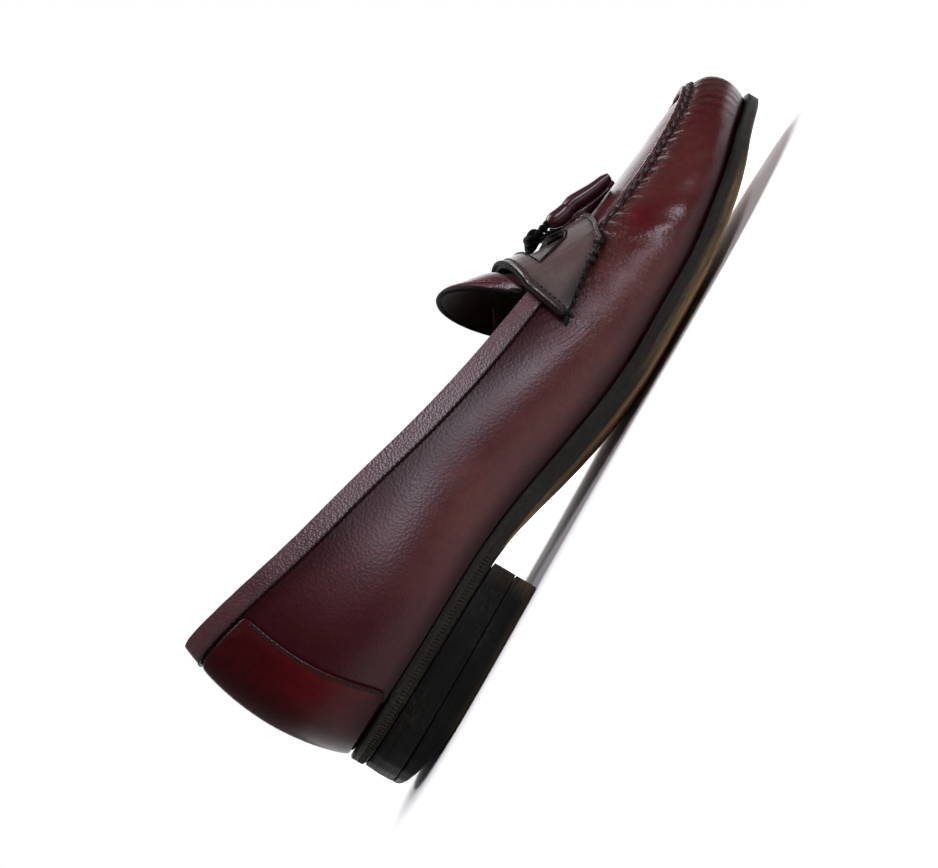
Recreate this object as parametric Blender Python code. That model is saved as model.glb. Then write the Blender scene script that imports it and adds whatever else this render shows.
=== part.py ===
"""Tassel loafer, right shoe, built from its last sections.

+X points to the toe, +Y to the inner side of the foot and +Z up. The floor is z = 0. In the
tables x is 0 near the back of the heel seat; finish() then moves everything back by ORIGIN_X,
so that the origin lies in the flat part of the heel's underside. The tables are in millimetres
and are scaled by the driving sizes; every object is made in metres.
"""
import math

import bmesh
import bpy
from mathutils import Vector

MM = 0.001

# Driving sizes, in millimetres
OUTSOLE_LENGTH = 287.7
BALL_WIDTH = 96.0
INSTEP_HEIGHT = 65.0
HEEL_STACK_TOP = 17.6

UPPER_WALL = 2.2
OVERLAY_THICKNESS = 1.2
STRAP_THICKNESS = 1.8
STRAP_ROLL = 0.7
STRAP_LIFT = 0.5
TONGUE_THICKNESS = 2.4
OUTSOLE_THICKNESS = 7.0
INSOLE_THICKNESS = 2.4
TOP_LIFT_HEIGHT = 7.4
TOP_LIFT_CHAMFER = 0.7
GAP = 0.3
ORIGIN_X = 50.0

SEAM_RIDGE_HEIGHT = 1.7
SEAM_RIDGE_WIDTH = 2.7
SEAT_BAND_DEPTH = 0.45
SEAT_BAND_END = 80.0

HEEL_BREAST_LATERAL = 77.0
HEEL_BREAST_MEDIAL = 83.0
HEEL_BREAST_HOLLOW = 2.2
HEEL_TAPER = 0.6
HEEL_WEAR_HEIGHT = 6.0
HEEL_WEAR_LENGTH = 34.0

# The sizes that the tables below are drawn for
DRAWN_LENGTH = 287.7
DRAWN_BALL_WIDTH = 96.0
DRAWN_INSTEP = 65.0
DRAWN_STACK_TOP = 17.6

LATERAL = -1
MEDIAL = 1

# One row for each station, from the back of the heel to the tip of the toe
# outline of the outsole, and how far inside it the upper meets the sole
OUTLINE = [
    # x,    lateral, medial, inset
    (2.5,     0.0,    0.0,  2.2),
    (8.3,   -20.0,   20.0,  2.0),
    (25.8,  -30.5,   30.5,  1.6),
    (50.6,  -34.0,   33.5,  1.4),
    (77.7,  -33.8,   31.0,  1.4),
    (106.0, -34.6,   27.5,  2.0),
    (135.7, -39.0,   29.0,  2.6),
    (165.7, -45.0,   36.0,  3.0),
    (195.5, -48.5,   44.6,  3.0),
    (215.9, -47.6,   47.5,  3.0),
    (240.5, -41.0,   45.6,  3.0),
    (261.5, -31.0,   38.6,  3.0),
    (278.0, -19.0,   27.0,  2.8),
    (287.0,  -7.4,   15.8,  2.7),
    (290.2,   4.2,    4.2,  2.7),
]
# upper: its top edge, which is the topline and then the apron seam, how far the wall
# swells out low and high, how far below the edge the high swell starts, as a share of the
# wall's height, and how far the apron leads its edges
UPPER = [
    # edge_x, edge_lateral, edge_medial, edge_z, low_out, high_out, high_drop, lead
    (6.5,     0.0,   0.0, 87.3,  8.1,  8.4, 0.33, 18.0),
    (9.5,   -13.0,  13.0, 87.0,  6.8,  7.0, 0.33, 18.0),
    (25.0,  -23.5,  23.5, 81.9,  5.2,  5.2, 0.33, 18.0),
    (50.0,  -27.5,  27.5, 74.4,  4.2,  4.0, 0.33, 18.0),
    (77.0,  -29.0,  28.5, 67.9,  4.4,  3.4, 0.33, 18.0),
    (106.0, -31.0,  30.0, 60.4,  5.0,  3.6, 0.33, 18.0),
    (134.0, -32.4,  31.0, 54.8,  5.2,  4.4, 0.32, 18.0),
    (162.5, -33.0,  32.0, 50.2,  5.0,  7.0, 0.28, 17.0),
    (192.5, -30.8,  31.0, 42.6,  4.2, 11.4, 0.17, 15.0),
    (212.0, -28.6,  30.0, 38.6,  4.0, 12.5, 0.12, 12.0),
    (236.0, -25.3,  28.0, 37.3,  4.0, 12.0, 0.10,  8.0),
    (257.0, -20.5,  24.0, 38.2,  4.4, 11.8, 0.08,  5.0),
    (269.5, -13.0,  18.0, 39.8,  4.6, 12.2, 0.06,  2.0),
    (276.3,  -5.0,  11.0, 40.8,  4.8, 12.6, 0.05,  0.7),
    (278.6,   3.6,   3.6, 41.2,  4.8, 12.6, 0.05,  0.0),
]
LAST = len(OUTLINE) - 1

# height of the apron and instep along the middle of the shoe
CROWN = [
    # x,     z
    (150.0, 76.0), (165.0, 70.4), (176.0, 64.9), (182.0, 61.6), (188.0, 58.2), (194.0, 54.8),
    (200.0, 51.7), (205.0, 49.5), (210.0, 48.2), (216.0, 47.5), (225.0, 46.8), (242.0, 45.3),
    (256.0, 44.4), (268.0, 43.2), (278.6, 41.2),
]
# underside of the outsole along its middle, how far its edges would lift above the middle at
# the width of the ball, and its thickness as a share of that at the forefoot
SOLE_BOTTOM = [
    # x,    z
    (2.5, 17.9), (40.0, 16.8), (77.0, 15.5), (92.0, 13.2), (105.0, 10.1), (120.0, 6.1),
    (135.0, 2.7), (150.0, 0.4), (162.0, -0.6), (180.0, -0.6), (196.0, -0.5), (206.0, 0.4),
    (226.0, 3.0), (240.0, 5.3), (255.0, 8.2), (270.0, 10.7), (282.0, 12.6), (290.2, 14.0),
]
SOLE_CAMBER = [
    # x,    lift
    (2.5, 0.0), (80.0, 0.2), (105.0, 3.2), (130.0, 5.8), (155.0, 6.0), (166.0, 5.9),
    (200.0, 4.5), (240.0, 4.3), (270.0, 4.4), (290.2, 4.2),
]
SOLE_THINNING = [
    # x,    share
    (2.5, 0.76), (60.0, 0.80), (90.0, 0.88), (120.0, 1.0),
]
# side of the outsole: how far in from the outline, and share of its thickness
SOLE_SIDE = [
    # inset, height, band (1 where the wheeled band of the heel seat is sunk)
    (1.1, 0.00, 0), (0.0, 0.12, 0), (0.0, 0.17, 1), (0.0, 0.50, 1), (0.0, 0.55, 0),
    (0.0, 0.90, 0), (0.7, 1.00, 0),
]

# stations between the table rows, and rows up the wall and across the apron
STEPS_PER_ROW = 3
WALL_ROWS = (0, 0.12, 0.26, 0.40, 0.54, 0.68, 0.80, 0.89, 0.945, 0.975, 1)
APRON_ROWS = (-1, -0.955, -0.9, -0.75, -0.5, -0.25, 0, 0.25, 0.5, 0.75, 0.9, 0.955, 1)
THROAT_STATION = 7
INSTEP_FULLNESS = 1.9
APRON_FULLNESS = 2.2
RIDGE_START = 8.2
RIDGE_RUN_IN = 0.35

STRAP_REAR = {"bottom": 156.0, "collar": 161.5, "middle": 174.2}
STRAP_FRONT = {"bottom": 189.0, "collar": 196.5, "middle": 208.0}
STRAP_REACH_REAR = 1.42
STRAP_REACH_FRONT = 1.24

COLLAR_STRIP_BACK = 7.6
COLLAR_STRIP_SIDE = 7.2

# seam of the heel foxing down the side
FOXING_SEAM = [
    # share of the height below the strip, x
    (0.0, 26.5), (0.3, 22.6), (0.5, 21.4), (0.8, 22.4), (1.0, 24.2),
]

# arches of the tongue behind the strap
TONGUE = [
    # x,     crown, half, base, sweep
    (169.6, 69.6, 25.2, 50.5, -6.0),
    (163.0, 74.7, 25.3, 50.5, 1.5),
    (157.5, 78.6, 24.9, 51.2, 6.0),
    (154.5, 80.3, 24.2, 52.2, 8.5),
]
# its front part follows the upper: station and height over the leather
TONGUE_FRONT = [(7.34, -3.2), (7.12, -3.4), (6.96, -3.2), (6.73, -0.8)]
TONGUE_FRONT_HALF = 0.78

# window of the strap, seen from above: near half, mirrored to the far half
WINDOW = [
    # x,     y
    (183.5, 0.0), (180.2, -15.5), (177.0, -23.2), (174.3, -29.0), (181.5, -27.0),
    (189.0, -24.4), (192.4, -21.0), (193.9, -17.2), (193.4, -14.0), (191.8, -11.4),
    (192.2, -6.0), (193.4, 0.0),
]

# turned shape of a tassel: share of its length, half width, half height, strip depth
TASSEL = [
    # share, width, height, depth
    (0.00, 1.5, 1.5, 0.00), (0.05, 2.8, 2.7, 0.00), (0.16, 3.7, 3.4, 0.00),
    (0.30, 4.0, 3.6, 0.00), (0.36, 3.7, 3.3, 0.04), (0.42, 4.3, 3.5, 0.22),
    (0.60, 5.0, 3.2, 0.30), (0.80, 5.6, 2.8, 0.34), (0.97, 5.9, 2.4, 0.36),
]
TASSEL_STRIPS = 9
TASSEL_UNEVEN = 1.6

# lace, knot and tassels: places as x, k and the height above the leather of the instep
LACE_RADIUS = 1.7
LACE_TWIST = 0.8
KNOT_PLACE = (189.3, -0.04, 4.3)
KNOT_SIZE = (3.9, 5.0, 2.5)
LACES = {
    "lace_near": [(192.7, -0.17, 5.8), (193.6, -0.18, 6.3), (194.5, -0.19, 6.8)],
    "lace_far": [(193.2, 0.07, 5.4), (197.6, 0.13, 6.2), (202.4, 0.19, 6.9)],
}
TASSELS = {
    "tassel_near": [(195.2, -0.19, 7.1), (204.0, -0.215, 7.0), (213.0, -0.255, 5.5),
                    (222.5, -0.30, 3.2)],
    "tassel_far": [(203.2, 0.20, 6.9), (211.5, 0.27, 5.6), (221.0, 0.35, 4.1),
                   (232.0, 0.44, 3.6)],
}

LEATHER = (0.16, 0.022, 0.032)
DARK_LEATHER = (0.075, 0.02, 0.025)
EDGE_BLACK = (0.02, 0.021, 0.018)
TAN = (0.42, 0.25, 0.12)


def along(x):
    return x * OUTSOLE_LENGTH / DRAWN_LENGTH


def across(y):
    return y * BALL_WIDTH / DRAWN_BALL_WIDTH


def upright(z):
    return z * INSTEP_HEIGHT / DRAWN_INSTEP


def smooth(value):
    value = min(max(value, 0.0), 1.0)
    return value * value * (3 - 2 * value)


def catmull(p0, p1, p2, p3, f):
    """Catmull-Rom curve from p1 to p2."""
    return 0.5 * (2 * p1 + (p2 - p0) * f + (2 * p0 - 5 * p1 + 4 * p2 - p3) * f ** 2
                  + (3 * p1 - p0 - 3 * p2 + p3) * f ** 3)


def profile(rows, x):
    """Smooth curve through rows of (x, value)."""
    if x <= rows[0][0]:
        return rows[0][1]
    if x >= rows[-1][0]:
        return rows[-1][1]
    i = max(j for j in range(len(rows) - 1) if rows[j][0] <= x)

    def slope(j):
        low, high = max(j - 1, 0), min(j + 1, len(rows) - 1)
        return (rows[high][1] - rows[low][1]) / (rows[high][0] - rows[low][0])

    width = rows[i + 1][0] - rows[i][0]
    f = (x - rows[i][0]) / width
    return ((1 + 2 * f) * (1 - f) ** 2 * rows[i][1] + f * (1 - f) ** 2 * width * slope(i)
            + f * f * (3 - 2 * f) * rows[i + 1][1] + f * f * (f - 1) * width * slope(i + 1))


def fold_round_ends(side, station):
    """Past the back or the toe, a station lies on the other side of the shoe."""
    if station < 0:
        return -side, -station
    if station > LAST:
        return -side, 2 * LAST - station
    return side, station


def column(rows, pair, side, station):
    """A column of a table at any station; pair holds the lateral and the medial column."""
    whole = math.floor(station)
    points = []
    for step in (-1, 0, 1, 2):
        near_side, row = fold_round_ends(side, whole + step)
        points.append(rows[row][pair[0] if near_side == LATERAL else pair[1]])
    return catmull(*points, station - whole)


def outline(side, station):
    x = column(OUTLINE, (0, 0), side, station)
    y = column(OUTLINE, (1, 2), side, station)
    return Vector((along(x), across(y), 0))


def outward(side, station):
    """Level direction that points away from the outline."""
    step = 0.02
    tangent = outline(side, station + step) - outline(side, station - step)
    return Vector((-side * tangent.y, side * tangent.x, 0)).normalized()


def drawn_x(x):
    return x * DRAWN_LENGTH / OUTSOLE_LENGTH


def sole_underside(x, off_centre):
    offset = min(off_centre / (BALL_WIDTH / 2), 1.0)
    height = profile(SOLE_BOTTOM, drawn_x(x))
    height *= HEEL_STACK_TOP / DRAWN_STACK_TOP if height > 0 else 1.0
    return max(height + profile(SOLE_CAMBER, drawn_x(x)) * offset ** 2, 0.0)


def sole_thickness(x):
    return OUTSOLE_THICKNESS * profile(SOLE_THINNING, drawn_x(x))


def sole_point(station, share, inset):
    """A point of the sole's plan: share runs from 0, lateral edge, to 1, medial edge."""
    lateral = outline(LATERAL, station) - outward(LATERAL, station) * inset
    medial = outline(MEDIAL, station) - outward(MEDIAL, station) * inset
    point = lateral.lerp(medial, share)
    centre = (outline(LATERAL, station).y + outline(MEDIAL, station).y) / 2
    point.z = sole_underside(point.x, abs(point.y - centre))
    return point


def wall(side, station, rise):
    """The upper's wall: rise is 0 on the sole and 1 at the top edge."""
    side, station = fold_round_ends(side, station)
    inset = column(OUTLINE, (3, 3), side, station)
    direction = outward(side, station)
    foot = sole_point(station, 0 if side == LATERAL else 1, inset)
    foot.z += sole_thickness(foot.x) + GAP
    top = Vector((along(column(UPPER, (0, 0), side, station)),
                  across(column(UPPER, (1, 2), side, station)),
                  upright(column(UPPER, (3, 3), side, station))))
    height = Vector((0, 0, top.z - foot.z))
    low = foot + direction * column(UPPER, (4, 4), side, station) + height * 0.33
    high = top + direction * column(UPPER, (5, 5), side, station)
    high -= height * column(UPPER, (6, 6), side, station)
    fall = 1 - rise
    return (foot * fall ** 3 + low * 3 * fall ** 2 * rise
            + high * 3 * fall * rise ** 2 + top * rise ** 3)


def apron(station, share):
    """The apron between its seams: share runs from -1, lateral, to 1, medial."""
    lateral, medial = wall(LATERAL, station, 1), wall(MEDIAL, station, 1)
    point = lateral.lerp(medial, (share + 1) / 2)
    level = (lateral.z + medial.z) / 2
    lead = column(UPPER, (7, 7), LATERAL, station)
    middle_x = point.x + along(lead)
    crown = upright(profile(CROWN, drawn_x(middle_x)))
    forward = smooth((station - THROAT_STATION) / 2)
    fullness = INSTEP_FULLNESS + (APRON_FULLNESS - INSTEP_FULLNESS) * forward
    point.x += along(lead) * (1 - share ** 2)
    point.z += max(crown - level, 0) * (1 - abs(share) ** fullness)
    return point


def last(station, k):
    """Outside of the upper: k runs from -2, lateral sole edge, over 0 to 2, medial."""
    if k < -1:
        return wall(LATERAL, station, 2 + k)
    if k > 1:
        return wall(MEDIAL, station, 2 - k)
    return apron(station, k)


def last_normal(station, k):
    if abs(k) <= 1:
        station = min(station, LAST - 0.05)
    step, turn = 0.02, 0.012
    forward = last(station + step, k) - last(station - step, k)
    low, high = max(k - turn, -2), min(k + turn, 2)
    over = last(station, high) - last(station, low)
    return forward.cross(over).normalized()


def off_last(station, k, distance):
    return last(station, k) + last_normal(station, k) * distance


def seam_ridge(station, k):
    """Height of the raised moccasin seam, which starts in front of the strap."""
    start = smooth((station - RIDGE_START) / RIDGE_RUN_IN)
    reach = (last(station, k) - last(station, math.copysign(1, k))).length
    return start * SEAM_RIDGE_HEIGHT * max(1 - (reach / SEAM_RIDGE_WIDTH) ** 2, 0)


def station_at(x, k):
    """The station where the upper has this x at k."""
    low, high = 0.0, float(LAST)
    for _ in range(30):
        middle = (low + high) / 2
        if last(middle, k).x < x:
            low = middle
        else:
            high = middle
    return (low + high) / 2


def stations(first, final, steps=STEPS_PER_ROW):
    count = round((final - first) * steps)
    return [first + (final - first) * i / count for i in range(count + 1)]


def add_grid(bm, rows):
    """Faces between rows of points that have the same number of points."""
    made = [[bm.verts.new(point * MM) for point in row] for row in rows]
    for row, following in zip(made, made[1:]):
        for i in range(len(row) - 1):
            bm.faces.new((row[i], following[i], following[i + 1], row[i + 1]))
    return made


def thicken(bm, inside):
    """Close a sheet into a solid: inside holds the inner point of each vertex."""
    sheet = list(bm.faces)
    rim = [edge for edge in bm.edges if len(edge.link_faces) == 1]
    rim_pairs = []
    for edge in rim:
        loop = edge.link_loops[0]
        rim_pairs.append((loop.vert, loop.link_loop_next.vert))
    inner = {vert: bm.verts.new(inside[vert] * MM) for vert in list(bm.verts)}
    for face in sheet:
        bm.faces.new([inner[vert] for vert in reversed(face.verts)])
    for first, second in rim_pairs:
        bm.faces.new((second, first, inner[first], inner[second]))


def material(name, colour, roughness, metallic=0.0):
    mat = bpy.data.materials.new(name)
    mat.use_nodes = True
    shader = mat.node_tree.nodes["Principled BSDF"]
    shader.inputs["Base Color"].default_value = (*colour, 1)
    shader.inputs["Roughness"].default_value = roughness
    shader.inputs["Metallic"].default_value = metallic
    mat.diffuse_color = (*colour, 1)
    return mat


def finish(bm, name, colour, roughness, sharp_degrees=35):
    """Merge what meets, point the faces outward and make the object."""
    bmesh.ops.remove_doubles(bm, verts=bm.verts, dist=0.000002)
    bmesh.ops.recalc_face_normals(bm, faces=bm.faces)
    bmesh.ops.triangulate(bm, faces=bm.faces)
    bmesh.ops.translate(bm, verts=bm.verts, vec=(-ORIGIN_X * MM, 0, 0))
    mesh = bpy.data.meshes.new(name)
    bm.to_mesh(mesh)
    bm.free()
    mesh.shade_smooth()
    mesh.set_sharp_from_angle(angle=math.radians(sharp_degrees))
    obj = bpy.data.objects.new(name, mesh)
    bpy.context.scene.collection.objects.link(obj)
    mesh.materials.append(material(name, colour, roughness))
    return obj


def sheet_solid(name, rows, inner_rows, colour, roughness):
    """A solid between an outer and an inner sheet of points."""
    bm = bmesh.new()
    made = add_grid(bm, rows)
    inside = {}
    for row, points in zip(made, inner_rows):
        inside.update(zip(row, points))
    thicken(bm, inside)
    return finish(bm, name, colour, roughness)


def ring_solid(name, loops, colour, roughness):
    """A solid through closed loops of points, with its two ends filled."""
    bm = bmesh.new()
    made = add_grid(bm, [loop + loop[:1] for loop in loops])
    bm.faces.new([row for row in made[0][:-1]])
    bm.faces.new([row for row in reversed(made[-1][:-1])])
    return finish(bm, name, colour, roughness)


def build_upper():
    bm = bmesh.new()
    spots = {}

    def add_panel(panel_stations, ks):
        rows = [[last(s, k) + last_normal(s, k) * seam_ridge(s, k) for k in ks]
                for s in panel_stations]
        for station, row in zip(panel_stations, add_grid(bm, rows)):
            for k, vert in zip(ks, row):
                spots[tuple(vert.co)] = (station, k)

    add_panel(stations(0, LAST), [rise - 2 for rise in WALL_ROWS])
    add_panel(stations(0, LAST), [2 - rise for rise in reversed(WALL_ROWS)])
    add_panel(stations(THROAT_STATION, LAST), list(APRON_ROWS))
    bmesh.ops.remove_doubles(bm, verts=bm.verts, dist=0.00002)
    inside = {}
    for vert in bm.verts:
        station, k = spots[tuple(vert.co)]
        inside[vert] = off_last(station, k, -UPPER_WALL)
        if abs(k) == 2:
            inside[vert].z = last(station, k).z
    thicken(bm, inside)
    return finish(bm, "upper", LEATHER, 0.3)


def sole_section(station, side_rows, cross, raised):
    """Closed loop round the sole at a station: underside, medial side, top, lateral side.

    raised gives the height above the outsole's underside at a point and a share of the
    thickness.
    """
    def place(share, row):
        inset, height, band = row
        sunk = SEAT_BAND_DEPTH * band * (1 - smooth((x_here - SEAT_BAND_END) / 4))
        point = sole_point(station, share, inset + sunk)
        point.z += raised(point, height)
        return point

    x_here = outline(LATERAL, station).x
    loop = [place(share, side_rows[0]) for share in cross]
    loop += [place(1, row) for row in side_rows[1:]]
    loop += [place(share, side_rows[-1]) for share in reversed(cross[:-1])]
    loop += [place(0, row) for row in reversed(side_rows[1:-1])]
    return loop


def build_outsole():
    cross = (0, 0.14, 0.31, 0.5, 0.69, 0.86, 1)
    loops = [sole_section(station, SOLE_SIDE, cross,
                          lambda point, share: sole_thickness(point.x) * share)
             for station in stations(0, LAST)]
    bm = bmesh.new()
    add_grid(bm, [loop + loop[:1] for loop in loops])
    return finish(bm, "outsole", EDGE_BLACK, 0.5)


def build_insole():
    reach = UPPER_WALL + GAP + 0.4
    cross = (0, 0.25, 0.5, 0.75, 1)
    loops = []
    for station in stations(0, LAST, 2):
        inset = column(OUTLINE, (3, 3), LATERAL, station) + reach
        rows = [(inset, 0, 0), (inset, 1, 0)]
        loops.append(sole_section(
            station, rows, cross,
            lambda point, share: sole_thickness(point.x) + GAP + INSOLE_THICKNESS * share))
    bm = bmesh.new()
    add_grid(bm, [loop + loop[:1] for loop in loops])
    return finish(bm, "insole", TAN, 0.6)


def heel_loop(share_back, level, inset):
    """A row of the heel across the shoe; share_back runs from 0, back, to 1, breast."""
    ends = [station_on_outline(LATERAL, HEEL_BREAST_LATERAL),
            station_on_outline(MEDIAL, HEEL_BREAST_MEDIAL)]
    lateral = outline(LATERAL, ends[0] * share_back)
    lateral -= outward(LATERAL, ends[0] * share_back) * inset
    medial = outline(MEDIAL, ends[1] * share_back)
    medial -= outward(MEDIAL, ends[1] * share_back) * inset
    row = []
    for share in (0, 0.2, 0.4, 0.6, 0.8, 1):
        point = lateral.lerp(medial, share)
        point.x -= HEEL_BREAST_HOLLOW * (1 - (2 * share - 1) ** 2) * share_back ** 6
        point.z = level(point)
        row.append(point)
    return row


def station_on_outline(side, x):
    low, high = 0.0, float(LAST)
    for _ in range(30):
        middle = (low + high) / 2
        if outline(side, middle).x < along(x):
            low = middle
        else:
            high = middle
    return low


def heel_solid(name, levels, colour, roughness):
    """A slice of the heel: levels holds the inset and the height function of each loop."""
    bm = bmesh.new()
    shares = [i / 12 for i in range(13)]
    grids = []
    for inset, level in levels:
        grids.append([heel_loop(share, level, inset) for share in shares])
    lower, upper = grids[0], grids[-1]
    loops = []
    for i in range(len(shares)):
        loop = list(lower[i])
        loop += [grid[i][-1] for grid in grids[1:-1]]
        loop += list(reversed(upper[i]))
        loop += [grid[i][0] for grid in reversed(grids[1:-1])]
        loops.append(loop)
    made = add_grid(bm, [loop + loop[:1] for loop in loops])
    breast = made[-1][:-1]
    middle = len(lower[-1])
    side_count = len(grids) - 2
    low_row = breast[:middle]
    high_row = list(reversed(breast[middle + side_count:middle * 2 + side_count]))
    medial_side = breast[middle:middle + side_count]
    lateral_side = list(reversed(breast[middle * 2 + side_count:]))
    rows = [low_row]
    for k in range(side_count):
        share = (k + 1) / (side_count + 1)
        inner = [bm.verts.new(low_row[j].co.lerp(high_row[j].co, share))
                 for j in range(1, middle - 1)]
        rows.append([lateral_side[k]] + inner + [medial_side[k]])
    rows.append(high_row)
    for row, following in zip(rows, rows[1:]):
        for j in range(middle - 1):
            bm.faces.new((row[j], row[j + 1], following[j + 1], following[j]))
    return finish(bm, name, colour, roughness)


def build_heel():
    split = TOP_LIFT_HEIGHT + GAP

    def seat(point):
        return sole_underside(point.x, 0) - GAP

    def worn(point):
        worn_share = max(1 - drawn_x(point.x) / HEEL_WEAR_LENGTH, 0)
        return HEEL_WEAR_HEIGHT * worn_share ** 2

    stack = [(HEEL_TAPER * 0.62, lambda point: split),
             (HEEL_TAPER * 0.30, lambda point: split + (seat(point) - split) * 0.5),
             (0.5, seat)]
    heel_solid("heel_stack", stack, EDGE_BLACK, 0.45)
    lift = [(HEEL_TAPER + TOP_LIFT_CHAMFER, worn),
            (HEEL_TAPER, lambda point: worn(point) + TOP_LIFT_CHAMFER),
            (HEEL_TAPER * 0.68, lambda point: TOP_LIFT_HEIGHT)]
    heel_solid("top_lift", lift, EDGE_BLACK, 0.6)


def strip_width(station):
    back = smooth(1 - station / 2.5)
    return COLLAR_STRIP_SIDE + (COLLAR_STRIP_BACK - COLLAR_STRIP_SIDE) * back


def strip_lower_rise(station):
    """How far up the wall the lower edge of the collar strip lies."""
    wall_height = wall(LATERAL, station, 1).z - wall(LATERAL, station, 0).z
    return 1 - strip_width(station) / wall_height


def build_collar_strip():
    """The strip runs from strap to strap round the back; its ends follow the strap's edge."""
    steps = 20
    rows, inner_rows = [], []
    for i in range(-steps, steps + 1):
        side = LATERAL if i < 0 else MEDIAL
        row, inner_row = [], []
        for share in (0, 0.5, 1):
            station = abs(i) / steps * THROAT_STATION
            for _ in range(3):
                low = strip_lower_rise(station)
                k = side * (2 - (low + (0.992 - low) * share))
                end_x = along(strap_edge_x(STRAP_REAR, k, STRAP_REACH_REAR)) - GAP * 1.3
                station = abs(i) / steps * station_at(end_x, k)
            row.append(off_last(station, k, GAP + OVERLAY_THICKNESS))
            inner_row.append(off_last(station, k, GAP))
        rows.append(row)
        inner_rows.append(inner_row)
    return sheet_solid("collar_strip", rows, inner_rows, LEATHER, 0.35)


def build_heel_foxing():
    heights = (0, 0.15, 0.35, 0.55, 0.75, 0.9, 1)
    shares = [i / 12 - 1 for i in range(25)]
    rows, inner_rows = [], []
    for share in shares:
        row, inner_row = [], []
        side = LATERAL if share < 0 else MEDIAL
        for height in heights:
            seam_x = along(profile(FOXING_SEAM, height))
            top_rise = strip_lower_rise(2.0) - 0.02
            rise = 0.012 + (top_rise - 0.012) * height
            station = station_at(seam_x, side * (2 - rise)) * abs(share)
            top_here = strip_lower_rise(station) - 0.014
            rise = 0.012 + (top_here - 0.012) * height
            k = side * (2 - rise)
            row.append(off_last(station, k, GAP + OVERLAY_THICKNESS))
            inner_row.append(off_last(station, k, GAP))
        rows.append(row)
        inner_rows.append(inner_row)
    return sheet_solid("heel_foxing", rows, inner_rows, LEATHER, 0.25)


def strap_edge_x(edge, k, reach):
    """Where an edge of the strap runs over the foot at k; its end lies at reach."""
    if abs(k) > 1:
        low = (abs(k) - 1) / (reach - 1)
        return edge["collar"] + (edge["bottom"] - edge["collar"]) * low
    return edge["middle"] + (edge["collar"] - edge["middle"]) * k * k


def strap_place(s, q):
    """Station and k of a strap point: s runs over the foot, -1 to 1, and q from rear to front."""
    reach = STRAP_REACH_REAR + (STRAP_REACH_FRONT - STRAP_REACH_REAR) * q
    k = s * reach
    rear = strap_edge_x(STRAP_REAR, k, reach)
    front = strap_edge_x(STRAP_FRONT, k, reach)
    return station_at(along(rear + (front - rear) * q), k), k


def build_saddle_strap():
    across_shares = [i / 13 - 1 for i in range(27)]
    along_shares = (0, 0.045, 0.12, 0.3, 0.5, 0.7, 0.88, 0.955, 1)
    rows, inner_rows = [], []
    for s in across_shares:
        row, inner_row = [], []
        for q in along_shares:
            station, k = strap_place(s, q)
            roll = STRAP_ROLL if q in (0.045, ) else 0.0
            row.append(off_last(station, k, STRAP_LIFT + STRAP_THICKNESS + roll))
            inner_row.append(off_last(station, k, STRAP_LIFT))
        rows.append(row)
        inner_rows.append(inner_row)
    strap = sheet_solid("saddle_strap", rows, inner_rows, DARK_LEATHER, 0.35)
    cut_window(strap)
    return strap


def cut_window(strap):
    """Cut the window through the strap with an upright prism."""
    near = [(along(x), across(y)) for x, y in WINDOW]
    far = [(x, -y) for x, y in reversed(near[1:-1])]
    bm = bmesh.new()
    low, high = 0.040, 0.080
    rings = [[bm.verts.new((x * MM, y * MM, z)) for x, y in near + far] for z in (low, high)]
    count = len(rings[0])
    for i in range(count):
        j = (i + 1) % count
        bm.faces.new((rings[0][i], rings[0][j], rings[1][j], rings[1][i]))
    bm.faces.new(rings[0])
    bm.faces.new(rings[1])
    cutter = finish(bm, "window_cutter", EDGE_BLACK, 0.5)
    cutter.hide_render = True
    cutter.display_type = "WIRE"
    cut = strap.modifiers.new("window", "BOOLEAN")
    cut.operation = "DIFFERENCE"
    cut.solver = "EXACT"
    cut.object = cutter


def build_tongue():
    shares = [i / 7 - 1 for i in range(15)]

    def arch(row, inset):
        x, crown, half, base, sweep = row
        points = []
        for share in shares:
            angle = share * math.pi / 2
            points.append(Vector((
                along(x + sweep * share ** 2),
                across(half - inset) * math.sin(angle),
                upright(base) + (upright(crown - base) - inset) * math.cos(angle) ** 0.85)))
        return points

    def sheet(inset):
        sections = [[off_last(station, TONGUE_FRONT_HALF * share, height - inset)
                     for share in shares] for station, height in TONGUE_FRONT]
        sections += [arch(row, inset) for row in TONGUE]
        rows = []
        for i in range(len(sections) - 1):
            around = [sections[min(max(i + d, 0), len(sections) - 1)] for d in (-1, 0, 1, 2)]
            for f in (0, 0.5):
                rows.append([catmull(*[around[d][j] for d in range(4)], f)
                             for j in range(len(shares))])
        return rows + [sections[-1]]

    return sheet_solid("tongue", sheet(0), sheet(TONGUE_THICKNESS), DARK_LEATHER, 0.35)


def tube_points(path, count):
    """Smooth points along a short path given as a list of places."""
    points = []
    for i in range(count + 1):
        place = i / count * (len(path) - 1)
        whole = min(int(place), len(path) - 2)
        around = [Vector(path[min(max(whole + d, 0), len(path) - 1)]) for d in (-1, 0, 1, 2)]
        points.append(catmull(*around, place - whole))
    return points


def sweep_frames(points):
    """A direction, a side and an up vector at each point."""
    frames = []
    for i, point in enumerate(points):
        direction = (points[min(i + 1, len(points) - 1)] - points[max(i - 1, 0)]).normalized()
        side = Vector((0, 0, 1)).cross(direction).normalized()
        frames.append((point, side, direction.cross(side)))
    return frames


def build_lace(name, path, radius, twist_turns):
    """A two-strand twisted lace: its section has two lobes that turn along it."""
    count, sides = 6, 10
    loops = []
    for i, (point, side, up) in enumerate(sweep_frames(tube_points(path, count))):
        turn = twist_turns * 2 * math.pi * i / count
        loop = []
        for j in range(sides):
            angle = 2 * math.pi * j / sides
            size = radius * (0.86 + 0.14 * math.cos(2 * (angle - turn)))
            loop.append(point + (side * math.cos(angle) + up * math.sin(angle)) * size)
        loops.append(loop)
    return ring_solid(name, loops, EDGE_BLACK, 0.4)


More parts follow.
